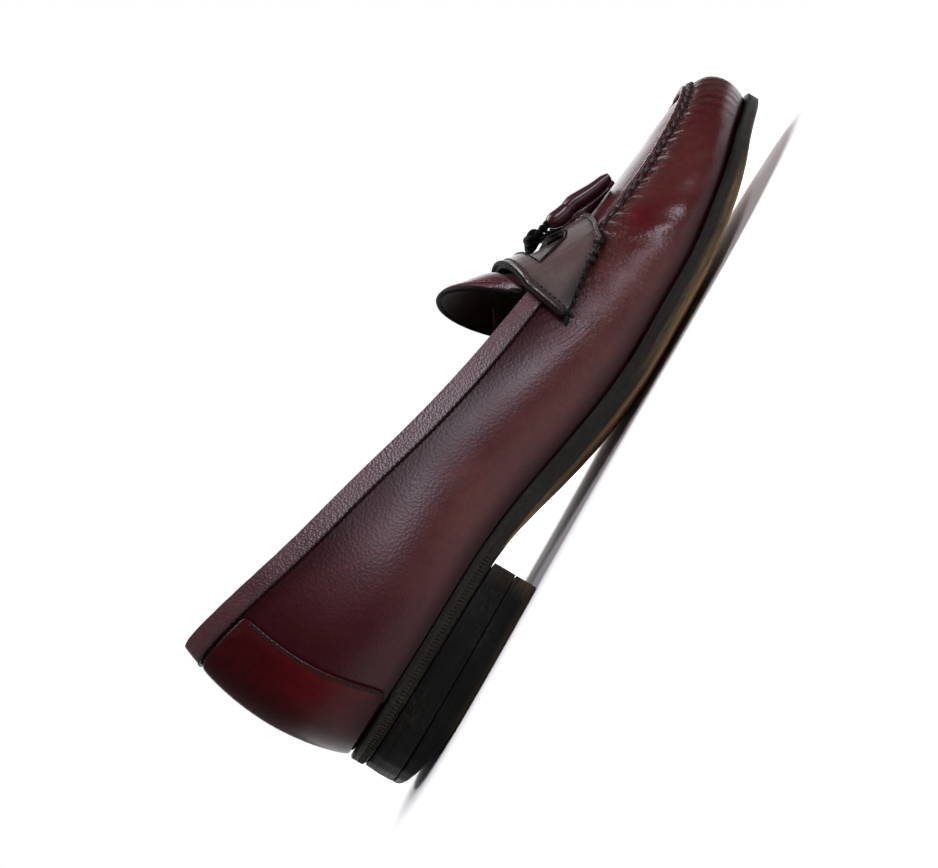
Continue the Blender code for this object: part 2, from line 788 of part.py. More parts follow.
def build_knot(name, centre, size):
    """A flattened knot with the three bulges of its crossing turns."""
    loops = []
    rings, sides = 8, 14
    for i in range(1, rings):
        polar = math.pi * i / rings
        loop = []
        for j in range(sides):
            angle = 2 * math.pi * j / sides
            swell = 1 + 0.10 * math.cos(3 * angle + polar * 2)
            loop.append(Vector(centre) + Vector((
                -math.cos(polar) * size[0],
                math.sin(polar) * math.cos(angle) * size[1] * swell,
                math.sin(polar) * math.sin(angle) * size[2] * swell)))
        loops.append(loop)
    return ring_solid(name, loops, EDGE_BLACK, 0.4)


def build_tassel(name, path):
    """A cap that opens into a skirt of strips with uneven ends."""
    count = 40
    frames = sweep_frames(tube_points(path, count))
    length = sum((a[0] - b[0]).length for a, b in zip(frames, frames[1:]))
    loops = []
    for share, width, height, depth in TASSEL:
        point, side, up = frames[round(share * count)]
        forward = side.cross(up)
        loop = []
        for strip in range(TASSEL_STRIPS):
            ragged = TASSEL_UNEVEN * math.sin(strip * 2.4) * smooth((share - 0.6) / 0.37)
            for place, sunk in ((0.0, 1), (0.16, 0), (0.84, 0)):
                angle = 2 * math.pi * (strip + place) / TASSEL_STRIPS
                size = 1 - depth * sunk
                loop.append(point + side * math.cos(angle) * width * size
                            + up * math.sin(angle) * height * size
                            + forward * min(ragged, length * 0.05) * (0.4 if sunk else 1))
        loops.append(loop)
    return ring_solid(name, loops, DARK_LEATHER, 0.3)


def over_instep(place):
    """A place given as x, k and the height above the leather."""
    x, k, height = place
    return off_last(station_at(along(x), k), k, height)


def build_tassels():
    build_knot("lace_knot", over_instep(KNOT_PLACE), KNOT_SIZE)
    for name, places in LACES.items():
        build_lace(name, [over_instep(place) for place in places], LACE_RADIUS, LACE_TWIST)
    for name, places in TASSELS.items():
        build_tassel(name, [over_instep(place) for place in places])


def main():
    for obj in list(bpy.data.objects):
        bpy.data.objects.remove(obj, do_unlink=True)
    build_outsole()
    build_heel()
    build_insole()
    build_upper()
    build_collar_strip()
    build_heel_foxing()
    build_saddle_strap()
    build_tongue()
    build_tassels()


main()
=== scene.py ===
import math
import random
import bpy
from mathutils import Matrix, Vector
from mathutils.bvhtree import BVHTree
from mathutils.kdtree import KDTree


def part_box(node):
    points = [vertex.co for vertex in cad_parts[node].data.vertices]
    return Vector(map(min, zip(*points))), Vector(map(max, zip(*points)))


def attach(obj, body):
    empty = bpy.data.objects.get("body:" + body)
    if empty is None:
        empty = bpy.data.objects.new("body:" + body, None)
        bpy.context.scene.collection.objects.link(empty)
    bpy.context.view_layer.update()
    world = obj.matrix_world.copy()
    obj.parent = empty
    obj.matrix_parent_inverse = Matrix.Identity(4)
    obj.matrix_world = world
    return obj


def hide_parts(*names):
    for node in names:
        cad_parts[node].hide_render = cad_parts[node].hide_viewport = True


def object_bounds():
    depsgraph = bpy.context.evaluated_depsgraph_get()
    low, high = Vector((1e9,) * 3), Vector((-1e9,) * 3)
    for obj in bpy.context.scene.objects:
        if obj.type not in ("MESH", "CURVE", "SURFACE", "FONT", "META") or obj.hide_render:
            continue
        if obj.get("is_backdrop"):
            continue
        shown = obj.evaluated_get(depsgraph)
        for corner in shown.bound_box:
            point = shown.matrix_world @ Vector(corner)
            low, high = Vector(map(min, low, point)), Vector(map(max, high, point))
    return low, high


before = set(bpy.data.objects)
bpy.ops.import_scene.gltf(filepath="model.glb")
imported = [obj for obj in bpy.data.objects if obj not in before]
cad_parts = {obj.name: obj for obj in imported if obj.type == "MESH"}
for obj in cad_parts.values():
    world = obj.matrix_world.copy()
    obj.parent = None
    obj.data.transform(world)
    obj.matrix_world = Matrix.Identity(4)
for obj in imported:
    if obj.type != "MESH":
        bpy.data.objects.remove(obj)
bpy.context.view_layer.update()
random.seed(7)
mm = 0.001
print("packed loafer loaded")


def at(x, y, z):  # a place or a step given in millimetres
    return Vector((x, y, z)) * mm


# picking, copying and placing
def editMode():
    bpy.ops.object.mode_set(mode="EDIT")


def editAll():
    editMode()
    bpy.ops.mesh.select_all(action="SELECT")


def objectMode():
    bpy.ops.object.mode_set(mode="OBJECT")


def deselectAll():
    if bpy.context.object and bpy.context.object.mode != "OBJECT":
        objectMode()
    bpy.ops.object.select_all(action="DESELECT")


def pickOnly(obj):
    deselectAll()
    obj.select_set(True)
    bpy.context.view_layer.objects.active = obj


def keepAs(name):  # names the object that an operator has just made, and its mesh
    obj = bpy.context.object
    obj.name = name
    obj.data.name = name
    return obj


def joinAs(name, objs):  # one piece from many copies
    deselectAll()
    for obj in objs:
        obj.select_set(True)
    bpy.context.view_layer.objects.active = objs[0]
    if len(objs) > 1:
        bpy.ops.object.join()
    return keepAs(name)


def copyOfNode(node, name):  # a merged copy of a CAD solid, in quads where they fit
    obj = bpy.data.objects.new(name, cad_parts[node].data.copy())
    bpy.context.scene.collection.objects.link(obj)
    obj.data.materials.clear()
    pickOnly(obj)
    bpy.ops.mesh.customdata_custom_splitnormals_clear()
    editAll()
    bpy.ops.mesh.remove_doubles(threshold=0.00001)
    bpy.ops.mesh.tris_convert_to_quads(face_threshold=math.radians(60), shape_threshold=math.radians(70))
    objectMode()
    return obj


def applyModifier(obj, kind, **settings):
    pickOnly(obj)
    made = obj.modifiers.new("made", kind)
    for key, value in settings.items():
        setattr(made, key, value)
    bpy.ops.object.modifier_apply(modifier=made.name)


def refine(obj, levels):
    applyModifier(obj, "SUBSURF", levels=levels, render_levels=levels)


def hardEdges(mesh, degrees):  # vertex pairs of the edges where two faces meet at a hard angle
    sides = {}
    for face in mesh.polygons:
        for key in face.edge_keys:
            sides.setdefault(key, []).append(face.normal)
    limit = math.radians(degrees)
    return [key for key, pair in sides.items() if len(pair) == 2 and pair[0].angle(pair[1], 0) > limit]


def bevelEdges(obj, width, degrees):  # hard edges rounded a little
    applyModifier(obj, "BEVEL", width=width * mm, segments=2, limit_method="ANGLE",
                  angle_limit=math.radians(degrees))


def splitFaces(obj):  # finer faces in the same shape, for tones and small moves
    applyModifier(obj, "SUBSURF", levels=2, render_levels=2, subdivision_type="SIMPLE")


def keepBorder(obj, amount, choose=None, degrees=50):  # hard edges that a later refine leaves crisp
    mesh = obj.data
    hard = set(hardEdges(mesh, degrees))
    crease = mesh.attributes.new("crease_edge", "FLOAT", "EDGE")
    for edge in mesh.edges:
        middle = (mesh.vertices[edge.vertices[0]].co + mesh.vertices[edge.vertices[1]].co) / 2
        kept = edge.key in hard and (choose is None or choose(middle))
        crease.data[edge.index].value = amount if kept else 0


def smoothShade(obj, degrees=60):
    pickOnly(obj)
    bpy.ops.object.shade_smooth_by_angle(angle=math.radians(degrees))


def treeOf(obj):
    return BVHTree.FromObject(obj, bpy.context.evaluated_depsgraph_get())


def finishPiece(obj, slotName, *nodes, material=None):  # rides and stands for CAD nodes; slotName is not used
    if material:
        obj.data.materials.append(material)
    if nodes:
        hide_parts(*nodes)
    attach(obj, "root")


def ease(value):
    value = min(max(value, 0.0), 1.0)
    return value * value * (3 - 2 * value)


def bump(value, centre, width):  # a smooth hill round a value
    return math.exp(-((value - centre) / width) ** 2)


def smoothPath(places, spacing, closed=False):  # even points on a smooth curve through places
    fine = []
    count = len(places)
    for i in range(count if closed else count - 1):
        if closed:
            a, b, c, d = (places[(i + k) % count] for k in (-1, 0, 1, 2))
        else:
            a, b, c, d = (places[min(max(i + k, 0), count - 1)] for k in (-1, 0, 1, 2))
        for step in range(16):
            f = step / 16
            square, cube = 2 * a - 5 * b + 4 * c - d, 3 * b - a - 3 * c + d
            fine.append(0.5 * (2 * b + (c - a) * f + square * f ** 2 + cube * f ** 3))
    fine.append(places[0].copy() if closed else places[-1].copy())
    runs = [0.0]
    for a, b in zip(fine, fine[1:]):
        runs.append(runs[-1] + (b - a).length)
    steps = max(round(runs[-1] / spacing), 2)
    points, j = [], 0
    for i in range(steps if closed else steps + 1):
        want = runs[-1] * i / steps
        while j < len(runs) - 2 and runs[j + 1] < want:
            j += 1
        share = (want - runs[j]) / max(runs[j + 1] - runs[j], 1e-9)
        points.append(fine[j].lerp(fine[j + 1], share))
    return points


def wayAt(points, i, step=1):  # the way a path runs at one of its points
    return (points[min(i + step, len(points) - 1)] - points[max(i - step, 0)]).normalized()


def frameAt(along, out):  # a turn whose x runs along a seam and whose z points off the leather
    along = along.normalized()
    side = out.cross(along).normalized()
    return Matrix((along, side, along.cross(side))).transposed().to_4x4()


def onLeather(tree, points, lift):  # path points put on a surface: place, way along, way out
    laid = []
    for i, point in enumerate(points):
        place, normal, _, _ = tree.find_nearest(point)
        laid.append((place + normal * lift, wayAt(points, i), normal))
    return laid


def copiesAlong(model, name, laid, turn=0.0, sizes=None):  # one model copied along a seam
    made = []
    for i, (place, along, out) in enumerate(laid):
        obj = model.copy()
        obj.data = model.data.copy()
        bpy.context.scene.collection.objects.link(obj)
        scale = sizes[i] if sizes else 1.0
        turned = frameAt(along, out) @ Matrix.Rotation(turn, 4, "Z") @ Matrix.Scale(scale, 4)
        obj.data.transform(Matrix.Translation(place) @ turned)
        made.append(obj)
    bpy.data.objects.remove(model, do_unlink=True)
    return joinAs(name, made)


def tubeAlong(name, points, radius, closed=False):  # a cord or a rolled edge
    curve = bpy.data.curves.new(name, "CURVE")
    curve.dimensions = "3D"
    curve.bevel_depth = radius
    curve.bevel_resolution = 2
    curve.use_fill_caps = True
    spline = curve.splines.new("POLY")
    spline.points.add(len(points) - 1)
    for spot, point in zip(spline.points, points):
        spot.co = (*point, 1)
    spline.use_cyclic_u = closed
    obj = bpy.data.objects.new(name, curve)
    bpy.context.scene.collection.objects.link(obj)
    pickOnly(obj)
    bpy.ops.object.convert(target="MESH")
    obj = keepAs(name)
    editAll()
    bpy.ops.mesh.remove_doubles(threshold=0.00001)
    bpy.ops.mesh.normals_make_consistent(inside=False)
    objectMode()
    smoothShade(obj)
    return obj


def stitchModel(length, width, height):  # one thread stitch: a small rounded bar lying along x
    bpy.ops.mesh.primitive_cylinder_add(vertices=6, radius=0.5, depth=1, rotation=(0, math.pi / 2, 0))
    obj = keepAs("stitchModel")
    bpy.ops.object.transform_apply(location=True, rotation=True, scale=True)
    editAll()
    bpy.ops.transform.resize(value=(length * 0.7, width, height))
    objectMode()
    for end in (-1, 1):  # both ends taper into the leather
        for face in obj.data.polygons:
            face.select = face.normal.x * end > 0.9
        for vert in obj.data.vertices:
            vert.select = False
        for edge in obj.data.edges:
            edge.select = False
        editMode()
        bpy.ops.mesh.select_mode(type="FACE")
        step = (end * length * 0.15, 0, -height * 0.22)
        bpy.ops.mesh.extrude_region_move(TRANSFORM_OT_translate={"value": step})
        bpy.ops.transform.resize(value=(1, 0.6, 0.6))
        objectMode()
    smoothShade(obj)
    return obj


def sewAlong(name, laid, size, thread, slotName, turn=0.0, sizes=None):  # a row of stitches, one piece
    length, width, height = size
    sewn = copiesAlong(stitchModel(length * mm, width * mm, height * mm), name, laid, turn, sizes)
    finishPiece(sewn, slotName, material=thread)


# materials for hide, thread and sole
def link(tree, source, target):  # another socket or a constant goes into a socket
    if isinstance(source, bpy.types.NodeSocket):
        tree.links.new(source, target)
    else:
        target.default_value = (*source, 1) if isinstance(source, tuple) else source


def addNode(tree, kind, **values):
    made = tree.nodes.new("ShaderNode" + kind)
    for key, value in values.items():
        spot = key.replace("_", " ")
        if spot in made.inputs:
            made.inputs[spot].default_value = value
        else:
            setattr(made, key, value)
    return made


def mixColour(tree, factor, first, second, blend="MIX"):
    mix = addNode(tree, "Mix", data_type="RGBA", blend_type=blend)
    for socket, value in ((mix.inputs[0], factor), (mix.inputs[6], first), (mix.inputs[7], second)):
        link(tree, value, socket)
    return mix.outputs[2]


def rangeOf(tree, value, low, high, newLow, newHigh):
    made = addNode(tree, "MapRange")
    link(tree, value, made.inputs[0])
    for i, number in enumerate((low, high, newLow, newHigh)):
        made.inputs[1 + i].default_value = number
    return made.outputs[0]


def mathOf(tree, kind, first, second=0.0):
    made = addNode(tree, "Math", operation=kind)
    link(tree, first, made.inputs[0])
    link(tree, second, made.inputs[1])
    return made.outputs[0]


def partsOf(tree, name):  # red, green and blue of one of the piece's attributes
    made = addNode(tree, "SeparateColor")
    link(tree, addNode(tree, "Attribute", attribute_name=name).outputs["Color"], made.inputs[0])
    return made.outputs


def splitX(tree, vector):
    made = addNode(tree, "SeparateXYZ")
    link(tree, vector, made.inputs[0])
    return made.outputs[0]


def bumpOn(tree, height, strength, distance, under=None):
    made = addNode(tree, "Bump", Distance=distance)
    link(tree, strength, made.inputs["Strength"])
    link(tree, height, made.inputs["Height"])
    if under:
        link(tree, under, made.inputs["Normal"])
    return made.outputs["Normal"]


def newMaterial(name, colour):
    mat = bpy.data.materials.new(name)
    mat.use_nodes = True
    mat.diffuse_color = (*colour, 1)
    return mat, mat.node_tree, mat.node_tree.nodes["Principled BSDF"]


def noiseOf(tree, vector, scale, detail=3.0, roughness=0.5):
    made = addNode(tree, "TexNoise", Scale=scale, Detail=detail, Roughness=roughness)
    link(tree, vector, made.inputs["Vector"])
    return made.outputs["Fac"]


def leatherMaterial(name, look):  # polished hide: tone and fold come from the piece's own attributes
    mat, tree, shader = newMaterial(name, look["base"])
    place = addNode(tree, "TexCoord").outputs["Object"]
    cloud = noiseOf(tree, place, 38, 3)
    fine = noiseOf(tree, place, 420, 4, 0.6)
    colour = mixColour(tree, rangeOf(tree, cloud, 0.35, 0.65, 0, 1), look["base"], look["second"])
    if "dark" in look:
        # the tone's first channel is painted shade: it mixes in the dark colour and lowers the specular
        # there; the second mixes in warm colour and the third red colour
        dark, warm, red = partsOf(tree, "tone")
        broken = mathOf(tree, "MULTIPLY", warm, rangeOf(tree, cloud, 0.25, 0.6, 0.35, 1.1))
        colour = mixColour(tree, broken, colour, look["warm"])
        colour = mixColour(tree, red, colour, look["red"])
        shadow = mathOf(tree, "MULTIPLY", dark, rangeOf(tree, fine, 0.2, 0.8, 0.9, 1.05))
        colour = mixColour(tree, shadow, colour, look["dark"])
        shine = rangeOf(tree, dark, 0, 1, look["specular"], look["specular"] * 0.3)
        link(tree, shine, shader.inputs["Specular IOR Level"])
    mottle = rangeOf(tree, fine, 0.25, 0.75, 0.78, 1.2)
    spread = addNode(tree, "CombineColor")
    for i in range(3):
        link(tree, mottle, spread.inputs[i])
    colour = mixColour(tree, 1.0, colour, spread.outputs[0], "MULTIPLY")
    link(tree, colour, shader.inputs["Base Color"])
    rough = rangeOf(tree, cloud, 0.3, 0.7, look["roughness"] - 0.05, look["roughness"] + 0.07)
    link(tree, rough, shader.inputs["Roughness"])
    shader.inputs["Specular IOR Level"].default_value = look.get("specular", 0.5)
    shader.inputs["Coat Weight"].default_value = look.get("coat", 0.0)
    shader.inputs["Coat Roughness"].default_value = look.get("coatRoughness", 0.2)
    cells = addNode(tree, "TexVoronoi", feature="SMOOTH_F1", Scale=1 / look["grain"], Smoothness=0.35)
    link(tree, place, cells.inputs["Vector"])
    normal = bumpOn(tree, cells.outputs["Distance"], look["grainStrength"], 0.00022)
    if "folds" in look:
        folds = partsOf(tree, "fold")
        run = addNode(tree, "Attribute", attribute_name="run").outputs["Vector"]
        phase = mathOf(tree, "MULTIPLY", splitX(tree, run), 2 * math.pi / look["pucker"])
        wave = mathOf(tree, "SINE", mathOf(tree, "ADD", phase, rangeOf(tree, cloud, 0.3, 0.7, 0, 2.5)))
        normal = bumpOn(tree, wave, folds[0], 0.00045, normal)
        # painted shade in the troughs of the pucker waves
        trough = mathOf(tree, "MULTIPLY", folds[0], rangeOf(tree, wave, -1, 0.7, 1.0, 0))
        link(tree, mixColour(tree, trough, colour, look["dark"]), shader.inputs["Base Color"])
        for channel, (wide, long, detail, depth) in enumerate(look["folds"]):
            stretch = addNode(tree, "Mapping", Scale=(1 / wide, 1 / long, 0))
            link(tree, run, stretch.inputs["Vector"])
            lines = noiseOf(tree, stretch.outputs["Vector"], 1.0, detail, 0.55)
            normal = bumpOn(tree, lines, folds[channel], depth, normal)
    link(tree, normal, shader.inputs["Normal"])
    return mat


def threadMaterial(name, colour, roughness):
    mat, tree, shader = newMaterial(name, colour)
    place = addNode(tree, "TexCoord").outputs["Object"]
    fuzz = noiseOf(tree, place, 1800, 3)
    lighter = tuple(c * 1.9 + 0.003 for c in colour)
    link(tree, mixColour(tree, fuzz, colour, lighter), shader.inputs["Base Color"])
    shader.inputs["Roughness"].default_value = roughness
    shader.inputs["Specular IOR Level"].default_value = 0.15
    link(tree, bumpOn(tree, fuzz, 0.5, 0.0002), shader.inputs["Normal"])
    return mat


# camera at the photograph's angle, turned so that the one shoe is in the middle
view = {"place": at(-27.1, -377.1, 29.5), "towards": (0.2361, 0.9691, -0.0708),
        "up": (0.8439, -0.1684, 0.5094), "lens": 42.2, "sensor": 36, "aim": (-101 / 1100, -67 / 1100)}
towards, up = Vector(view["towards"]).normalized(), Vector(view["up"]).normalized()
right = towards.cross(up)
towards = (towards + right * view["aim"][0] - up * view["aim"][1]).normalized()
right = towards.cross(up).normalized()
up = right.cross(towards)
deselectAll()
bpy.ops.object.camera_add(location=view["place"])
camera = keepAs("camera")
facing = Matrix((right, up, -towards)).transposed().to_4x4()
camera.matrix_world = Matrix.Translation(view["place"]) @ facing
camera.data.lens = view["lens"]
camera.data.sensor_width = view["sensor"]
camera.data.clip_start = 0.01
bpy.context.scene.camera = camera

# soft studio light and a pale floor
bpy.context.scene.view_settings.view_transform = "Standard"
lamps = [  # name, place, aimed at, width, height, watts, colour
    ("topSoftbox", (0.10, 0.12, 1.08), (0.09, 0.0, 0.05), 0.9, 0.95, 19.0, (1, 0.99, 0.99)),
    ("behindSoftbox", (0.35, 1.00, 0.38), (0.10, 0.0, 0.04), 1.5, 0.7, 8.0, (0.97, 0.97, 1)),
    ("sideStrip", (0.50, -1.00, 0.47), (0.10, 0.0, 0.04), 0.72, 0.13, 7.6, (0.90, 0.87, 1)),
]
for name, place, aim, width, height, watts, colour in lamps:
    bpy.ops.object.light_add(type="AREA", location=place)
    lamp = keepAs(name)
    lamp.data.shape = "RECTANGLE"
    lamp.data.size, lamp.data.size_y = width, height
    lamp.data.energy = watts
    lamp.data.color = colour
    lamp.rotation_euler = (Vector(aim) - Vector(place)).to_track_quat("-Z", "Y").to_euler()
world = bpy.data.worlds.new("studio")
bpy.context.scene.world = world
world.use_nodes = True
sky = world.node_tree
back = sky.nodes["Background"]  # what the shoe gets; the camera sees plain white
back.inputs["Color"].default_value = (1, 1, 1, 1)
back.inputs["Strength"].default_value = 0.12
plain = addNode(sky, "Background", Color=(1, 1, 1, 1), Strength=1.0)
both = addNode(sky, "MixShader")
link(sky, addNode(sky, "LightPath").outputs["Is Camera Ray"], both.inputs[0])
link(sky, back.outputs[0], both.inputs[1])
link(sky, plain.outputs[0], both.inputs[2])
link(sky, both.outputs[0], sky.nodes["World Output"].inputs[0])
bpy.ops.mesh.primitive_plane_add(size=1.3, location=(0.1, 0, -0.0002))
floor = keepAs("floor")
bpy.ops.object.transform_apply(location=True)
mat, tree, shader = newMaterial("paleFloor", (0.9, 0.9, 0.9))
shader.inputs["Base Color"].default_value = (0.9, 0.9, 0.9, 1)
shader.inputs["Roughness"].default_value = 0.9
shader.inputs["Specular IOR Level"].default_value = 0.1
floor.data.materials.append(mat)
floor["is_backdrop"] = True
print("camera, light and floor set")

upperLeather = leatherMaterial("upperLeather", {
    "base": (0.031, 0.0032, 0.0058), "second": (0.041, 0.0046, 0.0072),
    "warm": (0.060, 0.0120, 0.0090), "red": (0.054, 0.001, 0.003), "dark": (0.0085, 0.0008, 0.0011),
    "roughness": 0.29, "specular": 0.20, "coat": 0.12, "coatRoughness": 0.30, "grain": 0.0010,
    "grainStrength": 0.20, "pucker": 0.0046,
    "folds": [(0.0026, 0.016, 2, 0.0017), (0.0009, 0.0024, 3, 0.0006), (0.010, 0.024, 2, 0.0012)]})
stripLeather = leatherMaterial("stripLeather", {
    "base": (0.030, 0.0065, 0.0105), "second": (0.044, 0.0125, 0.0165), "warm": (0.055, 0.016, 0.017),
    "red": (0.08, 0.004, 0.008), "dark": (0.006, 0.002, 0.002), "roughness": 0.36, "specular": 0.55,
    "coat": 0.25, "coatRoughness": 0.30, "grain": 0.0008, "grainStrength": 0.60})
foxingLeather = leatherMaterial("foxingLeather", {
    "base": (0.017, 0.0006, 0.0014), "second": (0.027, 0.0012, 0.0022), "warm": (0.045, 0.006, 0.006),
    "red": (0.075, 0.002, 0.004), "dark": (0.005, 0.001, 0.0012), "roughness": 0.30, "specular": 0.10,
    "coat": 0.10, "coatRoughness": 0.18, "grain": 0.0012, "grainStrength": 0.16})
strapLeather = leatherMaterial("strapLeather", {
    "base": (0.039, 0.021, 0.0205), "second": (0.054, 0.032, 0.030), "warm": (0.05, 0.026, 0.022),
    "red": (0.06, 0.01, 0.012), "dark": (0.0045, 0.003, 0.003), "roughness": 0.38, "specular": 0.45,
    "coat": 0.15, "coatRoughness": 0.30, "grain": 0.0009, "grainStrength": 0.22})
tasselLeather = leatherMaterial("tasselLeather", {
    "base": (0.034, 0.0055, 0.0105), "second": (0.022, 0.0040, 0.0070), "roughness": 0.30,
    "specular": 0.3, "coat": 0.2, "coatRoughness": 0.15, "grain": 0.0009, "grainStrength": 0.12})
cordRed = leatherMaterial("cordRed", {
    "base": (0.11, 0.020, 0.030), "second": (0.075, 0.012, 0.018), "roughness": 0.45, "specular": 0.3,
    "grain": 0.0008, "grainStrength": 0.2})
cutEdge = leatherMaterial("cutEdge", {
    "base": (0.20, 0.17, 0.155), "second": (0.11, 0.08, 0.075), "roughness": 0.7, "grain": 0.0006,
    "grainStrength": 0.5})
blackEdge = leatherMaterial("blackEdge", {
    "base": (0.0030, 0.0026, 0.0024), "second": (0.0065, 0.0055, 0.005), "roughness": 0.6,
    "specular": 0.04, "grain": 0.0007, "grainStrength": 0.3})
# lining leather, made near-black as painted shade for the shaded inside of the shoe and the undersides of
# the tongue and strap
lining = leatherMaterial("lining", {
    "base": (0.008, 0.0048, 0.0042), "second": (0.013, 0.0075, 0.006), "roughness": 0.65,
    "specular": 0.15, "grain": 0.0008, "grainStrength": 0.4})
sockLeather = leatherMaterial("sockLeather", {
    "base": (0.21, 0.115, 0.060), "second": (0.16, 0.082, 0.042), "roughness": 0.55, "grain": 0.0009,
    "grainStrength": 0.35})
seamThread = threadMaterial("seamThread", (0.013, 0.0055, 0.0055), 0.5)
blackThread = threadMaterial("blackThread", (0.0035, 0.003, 0.003), 0.6)
# needle holes: near-black discs standing in for the shade inside the holes, mottled a little
mat, tree, shader = newMaterial("needleHole", (0.003, 0.002, 0.002))
place = addNode(tree, "TexCoord").outputs["Object"]
dustAndShade = mixColour(tree, noiseOf(tree, place, 900), (0.002, 0.001, 0.001), (0.006, 0.003, 0.003))
link(tree, dustAndShade, shader.inputs["Base Color"])
shader.inputs["Roughness"].default_value = 0.8
needleHole = mat


def soleMaterial(name, look):  # inked leather or rubber in layers, rubbed and scratched
    mat, tree, shader = newMaterial(name, look["base"])
    place = addNode(tree, "TexCoord").outputs["Object"]
    spread = addNode(tree, "Mapping", Scale=look["streak"])
    link(tree, place, spread.inputs["Vector"])
    streaks = noiseOf(tree, spread.outputs["Vector"], 1.0, 4, 0.65)
    patches = noiseOf(tree, place, 55, 3)
    colour = mixColour(tree, rangeOf(tree, streaks, 0.45, 0.75, 0, 1), look["base"], look["rubbed"])
    specks = rangeOf(tree, noiseOf(tree, place, 700, 4, 0.7), 0.45, 0.7, 0, 1)
    worn = mathOf(tree, "MULTIPLY", rangeOf(tree, patches, 0.45, 0.7, 0, 1), specks)
    colour = mixColour(tree, worn, colour, look["worn"])
    # tone: first channel painted shade at the sole's top rim, second dust-brown, third the tan underside
    dark, warm, under = partsOf(tree, "tone")
    dustAndShade = mathOf(tree, "MULTIPLY", warm, rangeOf(tree, streaks, 0.30, 0.62, 0.25, 1.0))
    colour = mixColour(tree, dustAndShade, colour, look["dustAndShade"])
    colour = mixColour(tree, under, colour, look["under"])
    colour = mixColour(tree, dark, colour, look["dark"])
    shader.inputs["Specular IOR Level"].default_value = look["specular"]
    link(tree, colour, shader.inputs["Base Color"])
    rough = rangeOf(tree, streaks, 0.3, 0.7, look["roughness"] - 0.08, look["roughness"] + 0.12)
    link(tree, rough, shader.inputs["Roughness"])
    normal = bumpOn(tree, streaks, look["lines"], 0.0003)
    link(tree, bumpOn(tree, noiseOf(tree, place, 1100, 3), 0.25, 0.0002, normal), shader.inputs["Normal"])
    return mat


soleEdge = soleMaterial("soleEdge", {
    "base": (0.0080, 0.0075, 0.0058), "rubbed": (0.015, 0.014, 0.010), "worn": (0.026, 0.023, 0.016),
    "dark": (0.0016, 0.0014, 0.0014), "dustAndShade": (0.085, 0.058, 0.026), "under": (0.25, 0.14, 0.062),
    "streak": (90, 90, 900), "roughness": 0.5, "lines": 0.25, "specular": 0.10})
heelBlack = soleMaterial("heelBlack", {
    "base": (0.0032, 0.0032, 0.0028), "rubbed": (0.0062, 0.006, 0.005), "worn": (0.014, 0.012, 0.010),
    "dark": (0.0012, 0.0012, 0.0012), "dustAndShade": (0.070, 0.047, 0.025), "under": (0.012, 0.011, 0.010),
    "streak": (70, 70, 1500), "roughness": 0.40, "lines": 0.3, "specular": 0.06})
print("materials made")


def paint(obj, values, name="tone", kind="FLOAT_COLOR"):  # one value per vertex, kept as an attribute
    made = obj.data.attributes.new(name, kind, "POINT")
    key = "color" if kind == "FLOAT_COLOR" else "vector"
    made.data.foreach_set(key, [number for value in values for number in value])


def skinOf(obj):  # place and normal of each vertex, read before any of them moves
    return [(vert.co.copy(), vert.normal.copy()) for vert in obj.data.vertices]


def moveSkin(obj, places):
    obj.data.vertices.foreach_set("co", [number for place in places for number in place])
    obj.data.update()


def slotByFace(obj, materials, choose):  # choose gives each face its material's number
    obj.data.materials.clear()
    for material in materials:
        obj.data.materials.append(material)
    for face in obj.data.polygons:
        face.material_index = choose(face)


def borderOf(obj, degrees=50):  # points along the hard edges of a merged solid
    spots = []
    for a, b in hardEdges(obj.data, degrees):
        first, second = obj.data.vertices[a].co, obj.data.vertices[b].co
        steps = max(int((second - first).length / (0.6 * mm)), 1)
        spots += [first.lerp(second, i / steps) for i in range(steps + 1)]
    return spots


def treeOfPoints(spots):
    tree = KDTree(len(spots))
    for i, spot in enumerate(spots):
        tree.insert(spot, i)
    tree.balance()
    return tree


def isOutside(co, normal):  # which side of the shoe's wall a normal looks to
    middle = Vector((co.x, 2 * mm, 34 * mm))
    if co.x > 205 * mm:
        middle.x = 205 * mm
    if co.x < -20 * mm:
        middle.x = -20 * mm
    middle.z = min(max(co.z, 24 * mm), 30 * mm) if co.x > 120 * mm else 45 * mm
    return (co - middle).dot(normal) > 0


cadTrees = {name: treeOf(obj) for name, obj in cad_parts.items()}


def gapTo(node, co):  # how far a place is from a CAD solid's skin
    return cadTrees[node].find_nearest(co)[3]


def bothSides(rows):  # places along the outer side of the shoe, then back along the inner side
    outer = [at(x, y, z) for x, y, _, z in rows]
    return outer + [at(x, y, z) for x, _, y, z in rows[-2::-1]]


# upper: the merged hide, its creases, and its tones: warm and red colour, and painted shade near the sole,
# the seam and the strap, in the puckers and below the collar strip
seam = {"rows": [  # x, outer y, inner y, z of the moccasin seam, from the strap to the toe
    (112.5, -33.0, 32.0, 50.2), (142.5, -30.8, 31.0, 42.6), (162.0, -28.6, 30.0, 38.6),
    (186.0, -25.3, 28.0, 37.3), (207.0, -20.5, 24.0, 38.2), (219.5, -13.0, 18.0, 39.8),
    (226.3, -5.0, 11.0, 40.8), (228.6, 3.6, 3.6, 41.2)],
    "start": 146, "pitch": 4.6, "puckerReach": 8, "puckerPitch": 4.6, "puckerDepth": 0.4}
seamPlaces = bothSides(seam["rows"])
seamLine = smoothPath(seamPlaces, 0.5 * mm)
seamTree = treeOfPoints(seamLine)
creases = [  # on the outer wall: x and z of both ends, depth, width
    (139, 36, 146, 20, 0.45, 3.2), (145, 37, 156, 22, 0.35, 3.0), (133, 34, 128, 22, 0.30, 3.0),
    (158, 34, 170, 19, 0.35, 4.5), (172, 33, 186, 20, 0.30, 4.0), (184, 30, 190, 25, 0.40, 2.2),
    (196, 32, 206, 22, 0.25, 4.0), (120, 33, 112, 24, 0.20, 5.0)]

